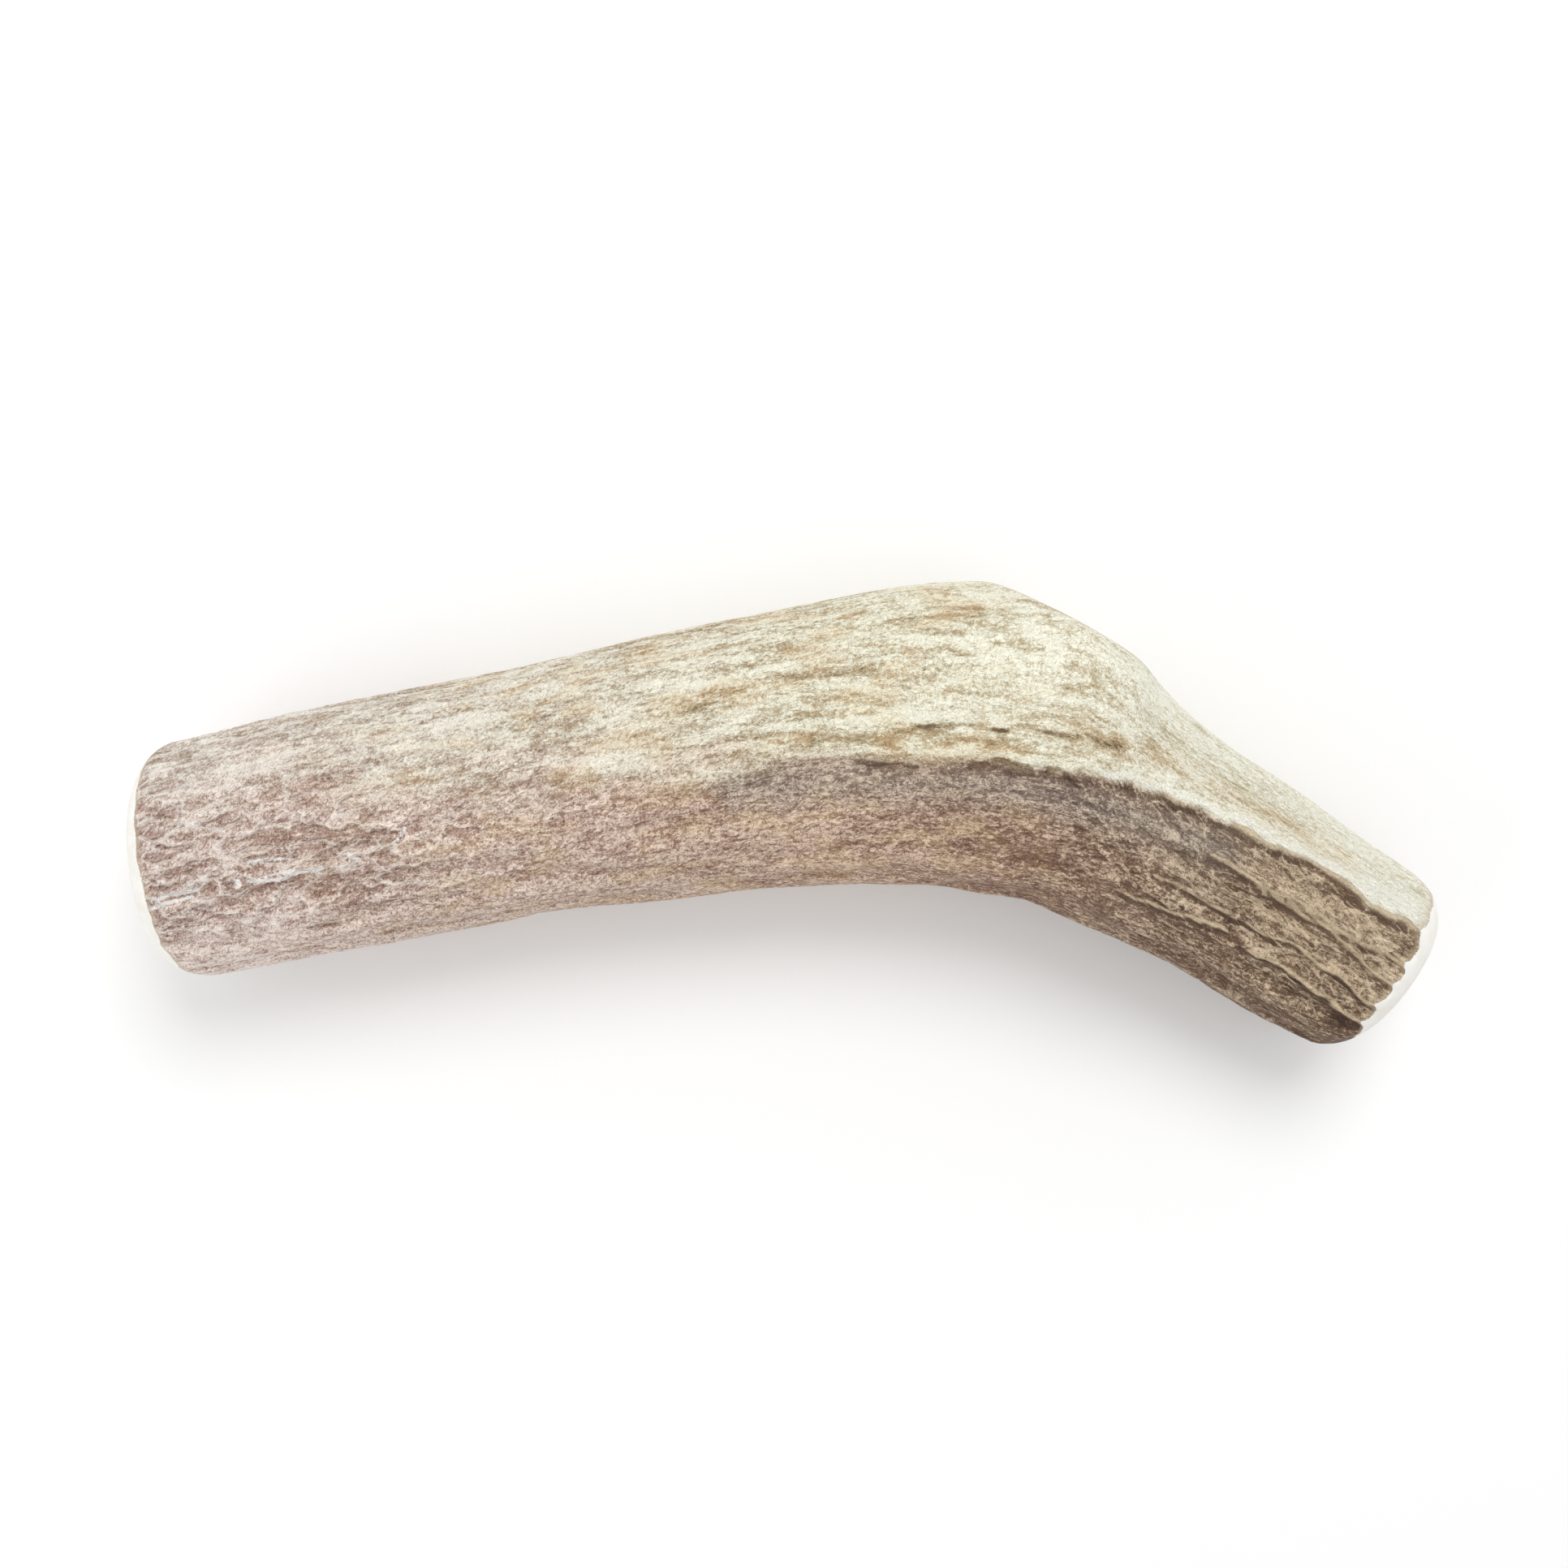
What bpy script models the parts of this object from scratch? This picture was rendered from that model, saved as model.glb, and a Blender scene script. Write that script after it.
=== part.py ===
"""A sawn length of elk antler, lying on its side.

A thick straight beam bends at the stump of a sawn-off tine into a thinner arm. Both ends and the stump are
sawn flat and sanded round their rims, and the bark between them is furrowed along its length. Lengths are in
metres.
"""

import math

import bmesh
import bpy
import numpy as np
from mathutils import Vector, noise

MM = 0.001

# The plan of the antler as it lies, at stations from the thick sawn end to the thin one:
# x and y on the far edge, x and y on the near edge.
PLAN_STATIONS = MM * np.array([
    (-95.9, 10.2, -91.9, -25.1),
    (-79.7, 14.0, -75.6, -21.7),
    (-61.7, 18.0, -57.1, -18.4),
    (-40.1, 22.2, -36.2, -14.6),
    (-18.4, 27.1, -14.9, -11.8),
    (0.7, 31.2, 2.0, -10.3),
    (16.4, 34.0, 14.0, -10.1),
    (27.2, 35.0, 22.4, -10.5),
    (35.4, 35.6, 28.6, -11.5),
    (42.8, 34.6, 34.1, -12.3),
    (49.3, 29.2, 38.7, -14.0),
    (53.4, 21.0, 43.4, -16.0),
    (58.7, 15.1, 47.9, -18.0),
    (65.4, 10.0, 53.1, -20.6),
    (75.3, 3.6, 60.1, -24.4),
    (84.9, -3.1, 68.7, -29.3),
    (97.6, -12.3, 81.5, -36.0),
])
# At the same stations, how high the underside hangs and how thick the antler is from there up.
HEIGHT_STATIONS = MM * np.array([
    (0.0, 33.8),
    (0.0, 34.0),
    (0.3, 33.8),
    (0.6, 33.6),
    (0.7, 33.9),
    (0.5, 34.6),
    (0.2, 35.2),
    (0.0, 35.7),
    (0.0, 35.9),
    (0.2, 35.7),
    (0.4, 35.0),
    (0.6, 34.0),
    (0.5, 33.0),
    (0.3, 32.0),
    (0.0, 31.0),
    (0.0, 30.2),
    (0.3, 29.1),
])
# At the same stations, the share by which the upper side thins towards the far edge.
FAR_THINNING = (
    0.0, 0.02, 0.03, 0.03, 0.05, 0.08, 0.12, 0.16, 0.18, 0.18, 0.15, 0.12, 0.08, 0.05, 0.03, 0.02, 0.0
)
SECTION_SQUARENESS = 2.1

# The sanded rims of the sawn ends. Each one's radius swells towards one side.
THICK_RIM_RADII = (6.2 * MM, 8.6 * MM)
THICK_RIM_WIDEST_ANGLE = math.radians(185)
THIN_RIM_RADII = (5.8 * MM, 7.2 * MM)
THIN_RIM_WIDEST_ANGLE = math.radians(110)
SANDED_EDGE_SOFTNESS = 0.15 * MM
RIM_RING_DISTANCES = MM * np.array([0.0, 0.8, 2.4, 4.6, 7.2])

# The flat face where the tine was sawn off.
STUMP_POINT = MM * np.array([41.5, 27.8, 15.0])
STUMP_HEADING = math.radians(60.3)
STUMP_NORMAL = np.array([math.cos(STUMP_HEADING), math.sin(STUMP_HEADING), 0.0])
STUMP_RIM_SOFTNESS = 1.2 * MM
STUMP_SMOOTH_BORDER = 4.5 * MM

# The furrows that wander along the bark all round it. Their depth is given at even steps along the beam, and
# it is less on the worn side. Each furrow wanders in two waves, and its strength swells and fades.
FURROW_COUNT = 21
FURROW_WIDTH = 1.45 * MM
FURROW_UNEVENNESS = 0.25
FURROW_DEEPEST_SHARE = 1.2
FURROW_DEPTHS = MM * np.array([1.0, 0.95, 0.7, 0.6, 0.7, 1.0, 1.15])
FURROW_WANDER = 0.055
FURROW_WAVELENGTH = 62 * MM
SECOND_WANDER_SHARE = 0.6
SECOND_WANDER_TURNS = 2.3
FURROW_STRENGTH = 0.62
FURROW_SWELL = 0.38
FURROW_SWELL_TURNS = (1.4, 0.5)
WORN_SHARE = 0.45
WORN_SIDE_ANGLE = math.radians(25)
WORN_SIDE_BORDER = (-0.1, 0.5)
LUMP_HEIGHT = 0.3 * MM
LUMP_SIZE = 17 * MM
GRAIN_HEIGHT = 0.22 * MM
GRAIN_LENGTH = 13 * MM
GRAIN_WIDTH = 4.5 * MM

# The larger ridges and gutters on the upper side, which all run out at the thin end: each one's height, half
# width and points in plan, in millimetres. The first is the long crest between the worn side and the dark
# side. Other furrows fade out beside them. Where the skin is steep, a line keeps at least a share of its
# width in plan.
TRACED_RIDGES = (
    (0.4, 1.2, [(-36, 5), (-14, 8.3), (2.6, 8.6), (15, 9.6), (28, 8.8), (38, 7.4), (49, 4.7), (57.4, 1.3),
                (67, -3.2), (77, -8.1), (83.5, -12.1), (92.6, -17.9)]),
    (0.3, 0.9, [(58.5, -5.0), (65.3, -8.9), (73.3, -13.2), (81.7, -18.0), (89.4, -22.4)]),
    (0.3, 0.9, [(66.2, -10.3), (76.5, -16.0), (82.0, -21.4), (87.2, -24.7)]),
    (0.3, 1.0, [(56.7, -10.9), (63.9, -14.8), (70.6, -18.4), (77.5, -23.1), (84.7, -27.9)]),
    (0.3, 1.0, [(53.9, -13.3), (60.3, -15.3), (66.5, -19.8), (72.5, -23.1), (83.1, -31.1)]),
    (-0.8, 1.2, [(-5, 6.2), (9.3, 7.0), (20, 6.9), (29.4, 6.5), (40, 4.4), (50, 1.7), (56.9, -1.2),
                 (66.4, -5.9), (76, -11.0), (82, -15.2), (91.4, -20.6)]),
    (-1.1, 1.1, [(48.7, -4.4), (55.9, -6.3), (67.7, -12.3), (75, -15.2), (81.5, -19.4), (88.7, -23.5)]),
    (-1.1, 1.4, [(58.2, -9.6), (65.4, -12.8), (72.4, -16.8), (78.8, -21.4), (86.5, -26.5)]),
    (-1.0, 1.2, [(57.4, -12.8), (66.8, -17.6), (72.7, -21.0), (77.4, -25.0), (84.2, -29.7)]),
    (-1.0, 1.2, [(60.2, -17.2), (65.6, -21.4), (72.1, -25.6), (77.1, -28.8), (81.8, -32.5)]),
)
TRACED_FADE_LENGTH = 7 * MM
TRACED_CLEARING = 2.6 * MM
STEEP_SHARE = 0.35

# The skin is measured out as if it were a straight round bar of this radius. Its rings lie closer together
# past the straight part, which is this share of the whole length.
PLAN_SAMPLES = 600
NOMINAL_RADIUS = 17 * MM
STRAIGHT_SHARE = 0.47
STRAIGHT_RINGS = 16
BENT_RINGS = 30
COLUMNS = 80
FACE_RING_SHARES = (0.62, 0.3)
SEED = 7


def smooth_step(value, low, high):
    """0 below low, 1 above high, and an even rise between them."""
    share = np.clip((value - low) / (high - low), 0, 1)
    return share * share * (3 - 2 * share)


def smooth_least(first, second, softness):
    """The smaller of two values, rounded over where they cross."""
    return 0.5 * (first + second - np.sqrt((first - second) ** 2 + softness**2))


def through_stations(stations, places):
    """Values on a smooth curve through the stations, at places counted in stations from the first one."""
    values = np.asarray(stations, float).reshape(len(stations), -1)
    padded = np.vstack([2 * values[0] - values[1], values, 2 * values[-1] - values[-2]])
    first = np.clip(np.floor(places).astype(int), 0, len(values) - 2)
    share = (places - first)[:, None]
    a, b, c, d = (padded[first + step] for step in range(4))
    return 0.5 * (
        2 * b
        + (c - a) * share
        + (2 * a - 5 * b + 4 * c - d) * share**2
        + (3 * b - a - 3 * c + d) * share**3
    )


def ring_places():
    """Where each ring lies, in stations and as a length along the beam."""
    fine = np.linspace(0, len(PLAN_STATIONS) - 1, PLAN_SAMPLES)
    plan = through_stations(PLAN_STATIONS, fine)
    middle = (plan[:, :2] + plan[:, 2:]) / 2
    steps = np.linalg.norm(np.diff(middle, axis=0), axis=1)
    run = np.concatenate([[0], np.cumsum(steps)])
    straight_end = STRAIGHT_SHARE * run[-1]
    straight = np.linspace(RIM_RING_DISTANCES[-1], straight_end, STRAIGHT_RINGS + 1)[1:]
    bent = np.linspace(straight_end, run[-1] - RIM_RING_DISTANCES[-1], BENT_RINGS + 2)[1:-1]
    lengths = np.concatenate([RIM_RING_DISTANCES, straight, bent, run[-1] - RIM_RING_DISTANCES[::-1]])
    return np.interp(lengths, run, fine), lengths


def smooth_sections(places, angles):
    """Points and outward directions of the antler's form without its bark, one ring for each place."""
    plan = through_stations(PLAN_STATIONS, places)
    heights = through_stations(HEIGHT_STATIONS, places)
    thinning = through_stations(FAR_THINNING, places)
    far, near = plan[:, :2], plan[:, 2:]
    middle = (far + near) / 2
    half_width = np.linalg.norm(far - near, axis=1)[:, None] / 2
    across = (far - near) / (2 * half_width)
    half_height = heights[:, 1:] / 2
    middle_height = heights[:, :1] + half_height

    power = 2 / SECTION_SQUARENESS
    sideways = np.sign(np.cos(angles)) * np.abs(np.cos(angles)) ** power
    upward = np.sign(np.sin(angles)) * np.abs(np.sin(angles)) ** power
    side = half_width * sideways
    thinner = 1 - np.where(upward > 0, thinning * sideways, 0)
    up = half_height * upward * thinner

    side_step = np.roll(side, -1, axis=1) - np.roll(side, 1, axis=1)
    up_step = np.roll(up, -1, axis=1) - np.roll(up, 1, axis=1)
    size = np.hypot(side_step, up_step)
    side_out, up_out = up_step / size, -side_step / size

    points = np.dstack([
        middle[:, :1] + across[:, :1] * side,
        middle[:, 1:] + across[:, 1:] * side,
        middle_height + up,
    ])
    outward = np.dstack([across[:, :1] * side_out, across[:, 1:] * side_out, up_out])
    return points, outward


def furrows(lengths, angles):
    """How deep the wandering furrows cut at each length along the beam and each angle round it."""
    chance = np.random.default_rng(SEED)
    depth = np.zeros((len(lengths), len(angles)))
    turns = 2 * math.pi * lengths / FURROW_WAVELENGTH
    for number in range(FURROW_COUNT):
        place = number + chance.uniform(-FURROW_UNEVENNESS, FURROW_UNEVENNESS)
        home = 2 * math.pi * place / FURROW_COUNT
        phases = chance.uniform(0, 2 * math.pi, 4)
        second_wander = SECOND_WANDER_SHARE * np.sin(SECOND_WANDER_TURNS * turns + phases[1])
        wander = FURROW_WANDER * (np.sin(turns + phases[0]) + second_wander)
        swells = [np.sin(rate * turns + phase) for rate, phase in zip(FURROW_SWELL_TURNS, phases[2:])]
        strength = FURROW_STRENGTH + FURROW_SWELL * swells[0] * swells[1]
        gap = (angles[None, :] - home - wander[:, None] + math.pi) % (2 * math.pi) - math.pi
        depth += strength[:, None] * np.exp(-((gap * NOMINAL_RADIUS / FURROW_WIDTH) ** 2))
    places = lengths / lengths[-1] * (len(FURROW_DEPTHS) - 1)
    worn = 1 - (1 - WORN_SHARE) * smooth_step(np.cos(angles - WORN_SIDE_ANGLE), *WORN_SIDE_BORDER)
    return through_stations(FURROW_DEPTHS, places) * np.minimum(depth, FURROW_DEEPEST_SHARE) * worn


def rough_noise(points, sizes):
    """Even noise between about -1 and 1, at a point for each corner, stretched to the sizes given."""
    heights = [noise.noise(Vector(place)) for place in (points / sizes).reshape(-1, 3)]
    return np.array(heights).reshape(points.shape[:2])


def straightened(lengths, angles):
    """Each corner's place if the beam were a straight round bar."""
    return np.dstack([
        np.repeat(lengths[:, None], len(angles), axis=1),
        NOMINAL_RADIUS * np.repeat(np.cos(angles)[None, :], len(lengths), axis=0),
        NOMINAL_RADIUS * np.repeat(np.sin(angles)[None, :], len(lengths), axis=0),
    ])


def distance_to_line(plan, line):
    """How far each plan point is from a line of points, and how far along the line its nearest point is."""
    nearest = np.full(plan.shape[:-1], np.inf)
    along = np.zeros(plan.shape[:-1])
    before = 0
    for start, end in zip(line[:-1], line[1:]):
        step = end - start
        size = np.linalg.norm(step)
        share = np.clip((plan - start) @ step / size**2, 0, 1)
        distance = np.linalg.norm(plan - start - share[..., None] * step, axis=-1)
        closer = distance < nearest
        nearest = np.where(closer, distance, nearest)
        along = np.where(closer, before + share * size, along)
        before += size
    return nearest, along


def traced_relief(points, outward):
    """The height of the larger ridges and gutters, and how much of the other furrows they leave."""
    relief = np.zeros(points.shape[:2])
    others = np.ones(points.shape[:2])
    upper = outward[..., 2] > 0
    for height, half_width, line in TRACED_RIDGES:
        distance, along = distance_to_line(points[..., :2], MM * np.array(line))
        surface_distance = distance / np.clip(outward[..., 2], STEEP_SHARE, 1)
        fade = smooth_step(along, 0, TRACED_FADE_LENGTH)
        profile = np.exp(-((surface_distance / (half_width * MM)) ** 2))
        relief += np.where(upper, height * MM * fade * profile, 0)
        near_line = fade * np.exp(-((surface_distance / TRACED_CLEARING) ** 2))
        others = np.minimum(others, np.where(upper, 1 - near_line, 1))
    return relief, others


def rim_insets(lengths, angles):
    """How far the sanded rims draw each ring in, at both ends."""
    rims = (
        (THICK_RIM_RADII, THICK_RIM_WIDEST_ANGLE, lengths),
        (THIN_RIM_RADII, THIN_RIM_WIDEST_ANGLE, lengths[-1] - lengths),
    )
    insets = np.zeros((len(lengths), len(angles)))
    for (least, most), widest_angle, distance in rims:
        radius = least + (most - least) * (0.5 + 0.5 * np.cos(angles - widest_angle)) ** 2
        into_rim = np.clip(radius[None, :] - distance[:, None], 0, None)
        insets += radius - np.sqrt(np.maximum(radius**2 - into_rim**2, 0))
    return insets


def past_stump(points):
    """How far each point lies past the stump's face."""
    return (points - STUMP_POINT) @ STUMP_NORMAL


def saw_off_tine(points):
    """Everything past the stump's face is moved back onto it, with a rounded rim."""
    beyond = past_stump(points)
    kept = smooth_least(beyond, 0, STUMP_RIM_SOFTNESS)
    return points - (beyond - kept)[..., None] * STUMP_NORMAL


def antler_rings():
    """The outside of the antler from one sawn face to the other."""
    places, lengths = ring_places()
    angles = np.linspace(0, 2 * math.pi, COLUMNS, endpoint=False)
    points, outward = smooth_sections(places, angles)
    flat = straightened(lengths, angles)
    traced, others = traced_relief(points, outward)
    grain = GRAIN_HEIGHT * rough_noise(flat, np.array([GRAIN_LENGTH, GRAIN_WIDTH, GRAIN_WIDTH]))
    lumps = LUMP_HEIGHT * rough_noise(points, LUMP_SIZE)
    bark = lumps + traced + others * (grain - furrows(lengths, angles))
    bark *= smooth_step(-past_stump(points), 0, STUMP_SMOOTH_BORDER)
    insets = rim_insets(lengths, angles)
    offset = np.where(insets > 0, smooth_least(bark, -insets, SANDED_EDGE_SOFTNESS), bark)
    offset[0] = -insets[0]
    offset[-1] = -insets[-1]
    rings = saw_off_tine(points + offset[..., None] * outward)
    middle_x = (rings[..., 0].min() + rings[..., 0].max()) / 2
    middle_y = (rings[..., 1].min() + rings[..., 1].max()) / 2
    return rings - np.array([middle_x, middle_y, rings[..., 2].min()])


def close_end(mesh, rim, outward_first):
    """A flat face inside a ring, of smaller rings with half as many corners each time."""
    middle = sum((corner.co for corner in rim), Vector()) / len(rim)
    outer = rim
    skip = 1
    for share in FACE_RING_SHARES:
        skip *= 2
        inner = [mesh.verts.new(middle + (corner.co - middle) * share) for corner in rim[::skip]]
        for number, corner in enumerate(inner):
            here, half_way = outer[2 * number], outer[2 * number + 1]
            after = outer[(2 * number + 2) % len(outer)]
            next_corner = inner[(number + 1) % len(inner)]
            faces = (
                (here, half_way, corner),
                (half_way, next_corner, corner),
                (half_way, after, next_corner),
            )
            for face in faces:
                mesh.faces.new(face if outward_first else face[::-1])
        outer = inner
    centre = mesh.verts.new(middle)
    for number, corner in enumerate(outer):
        face = (corner, outer[(number + 1) % len(outer)], centre)
        mesh.faces.new(face if outward_first else face[::-1])


def antler_mesh(rings):
    """One closed skin of triangles over the rings and the two sawn faces."""
    mesh = bmesh.new()
    corners = [[mesh.verts.new(point) for point in ring] for ring in rings]
    for ring, following in zip(corners, corners[1:]):
        for number in range(COLUMNS):
            after = (number + 1) % COLUMNS
            mesh.faces.new((ring[number], ring[after], following[after], following[number]))
    close_end(mesh, corners[0], False)
    close_end(mesh, corners[-1], True)
    bmesh.ops.triangulate(mesh, faces=mesh.faces, quad_method="BEAUTY")
    bmesh.ops.recalc_face_normals(mesh, faces=mesh.faces)
    return mesh


def antler_material():
    """Matt ivory-tan horn."""
    material = bpy.data.materials.new("antler")
    material.use_nodes = True
    shader = material.node_tree.nodes["Principled BSDF"]
    shader.inputs["Base Color"].default_value = (0.5, 0.38, 0.28, 1)
    shader.inputs["Roughness"].default_value = 0.6
    shader.inputs["Metallic"].default_value = 0
    return material


def main():
    for old in list(bpy.data.objects):
        bpy.data.objects.remove(old, do_unlink=True)
    mesh = antler_mesh(antler_rings())
    data = bpy.data.meshes.new("antler")
    mesh.to_mesh(data)
    mesh.free()
    data.shade_smooth()
    data.materials.append(antler_material())
    antler = bpy.data.objects.new("antler", data)
    bpy.context.scene.collection.objects.link(antler)


main()
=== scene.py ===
"""The looks of a sawn length of elk antler.

The bark's furrows, ridges and sanded rims are measured out again here as in the solid, far more finely, with
the pits, net and granules that the solid leaves out. Lengths are in millimetres until the mesh is made.
"""

import math

import bpy
import numpy as np
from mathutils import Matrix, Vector, noise


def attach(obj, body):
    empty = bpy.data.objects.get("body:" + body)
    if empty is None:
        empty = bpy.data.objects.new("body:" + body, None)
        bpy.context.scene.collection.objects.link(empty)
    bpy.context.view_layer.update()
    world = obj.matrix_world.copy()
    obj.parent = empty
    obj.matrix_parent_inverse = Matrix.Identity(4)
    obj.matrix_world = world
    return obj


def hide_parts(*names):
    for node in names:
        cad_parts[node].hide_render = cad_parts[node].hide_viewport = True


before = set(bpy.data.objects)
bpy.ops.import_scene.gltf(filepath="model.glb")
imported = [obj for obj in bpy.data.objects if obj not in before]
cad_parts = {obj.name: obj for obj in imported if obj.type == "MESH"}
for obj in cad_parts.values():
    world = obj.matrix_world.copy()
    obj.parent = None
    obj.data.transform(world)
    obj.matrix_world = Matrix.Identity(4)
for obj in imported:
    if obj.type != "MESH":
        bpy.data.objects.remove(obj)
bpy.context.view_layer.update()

MM = 0.001

# The plan of the antler as it lies, at stations from the thick sawn end to the thin one:
# x and y on the far edge, x and y on the near edge.
PLAN_STATIONS = (
    (-95.9, 10.2, -91.9, -25.1),
    (-79.7, 14.0, -75.6, -21.7),
    (-61.7, 18.0, -57.1, -18.4),
    (-40.1, 22.2, -36.2, -14.6),
    (-18.4, 27.1, -14.9, -11.8),
    (0.7, 31.2, 2.0, -10.3),
    (16.4, 34.0, 14.0, -10.1),
    (27.2, 35.0, 22.4, -10.5),
    (35.4, 35.6, 28.6, -11.5),
    (42.8, 34.6, 34.1, -12.3),
    (49.3, 29.2, 38.7, -14.0),
    (53.4, 21.0, 43.4, -16.0),
    (58.7, 15.1, 47.9, -18.0),
    (65.4, 10.0, 53.1, -20.6),
    (75.3, 3.6, 60.1, -24.4),
    (84.9, -3.1, 68.7, -29.3),
    (97.6, -12.3, 81.5, -36.0),
)
# At the same stations, how high the underside hangs and how thick the antler is from there up.
HEIGHT_STATIONS = (
    (0.0, 33.8),
    (0.0, 34.0),
    (0.3, 33.8),
    (0.6, 33.6),
    (0.7, 33.9),
    (0.5, 34.6),
    (0.2, 35.2),
    (0.0, 35.7),
    (0.0, 35.9),
    (0.2, 35.7),
    (0.4, 35.0),
    (0.6, 34.0),
    (0.5, 33.0),
    (0.3, 32.0),
    (0.0, 31.0),
    (0.0, 30.2),
    (0.3, 29.1),
)
# At the same stations, the share by which the upper side thins towards the far edge.
FAR_THINNING = (
    0.0, 0.02, 0.03, 0.03, 0.05, 0.08, 0.12, 0.16, 0.18, 0.18, 0.15, 0.12, 0.08, 0.05, 0.03, 0.02, 0.0
)
SECTION_SQUARENESS = 2.1
PLAN_SAMPLES = 600

# The sanded rims of the sawn ends. Each one's radius swells towards one side. The brown skin goes some way
# down, so the rims turn white only where more than that is sanded off.
THICK_RIM_RADII = (6.2, 8.6)
THICK_RIM_WIDEST_ANGLE = math.radians(185)
THIN_RIM_RADII = (5.8, 7.2)
THIN_RIM_WIDEST_ANGLE = math.radians(110)
SANDED_EDGE_SOFTNESS = 0.15
SANDED_RELIEF = 0.5
THICK_END_SKIN = 0.85
THIN_END_SKIN = 0.35
UNSANDED_ANGLE = math.radians(178)
UNSANDED_SPREAD = math.radians(32)
UNSANDED_DEPTH = 4.0
SANDING_ONSET = 0.3

# The flat face where the tine was sawn off.
STUMP_POINT = (41.5, 27.8, 15.0)
STUMP_HEADING = math.radians(60.3)
STUMP_RIM_SOFTNESS = 1.2
STUMP_SMOOTH_BORDER = 4.5
STUMP_SKIN = 0.25
STUMP_CORE_RADIUS = 8.5
STUMP_CORE_SOLID_SHARE = 0.3
STUMP_FACE_BORDER = (-0.3, 0.2)

# The furrows of the bark, as in the solid.
SEED = 7
FURROW_COUNT = 21
FURROW_WIDTH = 1.45
FURROW_UNEVENNESS = 0.25
FURROW_DEEPEST_SHARE = 1.2
FURROW_DEPTHS = (1.0, 0.95, 0.7, 0.6, 0.7, 1.0, 1.15)
FURROW_WANDER = 0.055
FURROW_WAVELENGTH = 62
SECOND_WANDER_SHARE = 0.6
SECOND_WANDER_TURNS = 2.3
FURROW_STRENGTH = 0.62
FURROW_SWELL = 0.38
FURROW_SWELL_TURNS = (1.4, 0.5)
# On the worn side they are shallower.
WORN_SHARE = 0.45
WORN_SIDE_ANGLE = math.radians(25)
WORN_SIDE_BORDER = (-0.1, 0.5)
# Broad lumps, and a coarse grain.
LUMP_HEIGHT = 0.3
LUMP_SIZE = 17
GRAIN_HEIGHT = 0.22
GRAIN_LENGTH = 13
GRAIN_WIDTH = 4.5

# The long crest past the bend, in plan.
LONG_CREST = [(2.6, 8.6), (15, 9.6), (28, 8.8), (38, 7.4), (49, 4.7), (57.4, 1.3), (67, -3.2), (77, -8.1)]
# The larger ridges and gutters on the upper side: each one's height, half width and points in plan.
TRACED_RIDGES = (
    (0.4, 1.2, [(-36, 5), (-14, 8.3), *LONG_CREST, (83.5, -12.1), (92.6, -17.9)]),
    (0.3, 0.9, [(58.5, -5), (65.3, -8.9), (73.3, -13.2), (81.7, -18), (89.4, -22.4)]),
    (0.3, 0.9, [(66.2, -10.3), (76.5, -16), (82, -21.4), (87.2, -24.7)]),
    (0.3, 1, [(56.7, -10.9), (63.9, -14.8), (70.6, -18.4), (77.5, -23.1), (84.7, -27.9)]),
    (0.3, 1, [(53.9, -13.3), (60.3, -15.3), (66.5, -19.8), (72.5, -23.1), (83.1, -31.1)]),
    (-0.8, 1.2, [(-5, 6.2), (9.3, 7), (20, 6.9), (29.4, 6.5), (40, 4.4), (50, 1.7), (56.9, -1.2),
                 (66.4, -5.9), (76, -11), (82, -15.2), (91.4, -20.6)]),
    (-1.1, 1.1, [(48.7, -4.4), (55.9, -6.3), (67.7, -12.3), (75, -15.2), (81.5, -19.4), (88.7, -23.5)]),
    (-1.1, 1.4, [(58.2, -9.6), (65.4, -12.8), (72.4, -16.8), (78.8, -21.4), (86.5, -26.5)]),
    (-1, 1.2, [(57.4, -12.8), (66.8, -17.6), (72.7, -21), (77.4, -25), (84.2, -29.7)]),
    (-1, 1.2, [(60.2, -17.2), (65.6, -21.4), (72.1, -25.6), (77.1, -28.8), (81.8, -32.5)]),
)
# Up close the crests are thinner than in the solid, and the gutters wider with flatter floors.
CREST_POWER = 1.4
CREST_WIDER = 0.6
GUTTER_POWER = 4
GUTTER_WIDER = 1.3
# They rise over this length at their start, and clear the other furrows away up to about this distance.
TRACED_FADE_LENGTH = 7
TRACED_CLEARING = 2.6
RIDGE_RAGGEDNESS = 0.5
FURROW_RAGGEDNESS = 0.25
# On the steep sides, distances in plan grow no more than as on a slope of this upward share.
STEEP_SHARE = 0.35

# The mesh: rings lie evenly along the rims' rounding and evenly between them.
NOMINAL_RADIUS = 17
RIM_LENGTH = 7.2
RIM_RINGS = 20
MIDDLE_RINGS = 320
COLUMNS = 240
# The sawn faces: the share of the rim's radius at each ring, and its count of corners.
FACE_RINGS = (
    (0.95, 240), (0.88, 240), (0.81, 240), (0.74, 240), (0.67, 240), (0.6, 120), (0.53, 120), (0.46, 120),
    (0.39, 120), (0.32, 60), (0.25, 60), (0.18, 60), (0.11, 30), (0.05, 30),
)
# Their spongy core, with pits. All of the bark counts as sanded off there.
CORE_RADIUS_SHARE = 1.0
CORE_SOFTNESS = 0.45
CORE_WOBBLE = 0.15
CORE_PIT_BORDER = (0.0, 0.35)
CORE_PIT_DEPTH = 0.35
FACE_REMOVED = 5.0

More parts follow.
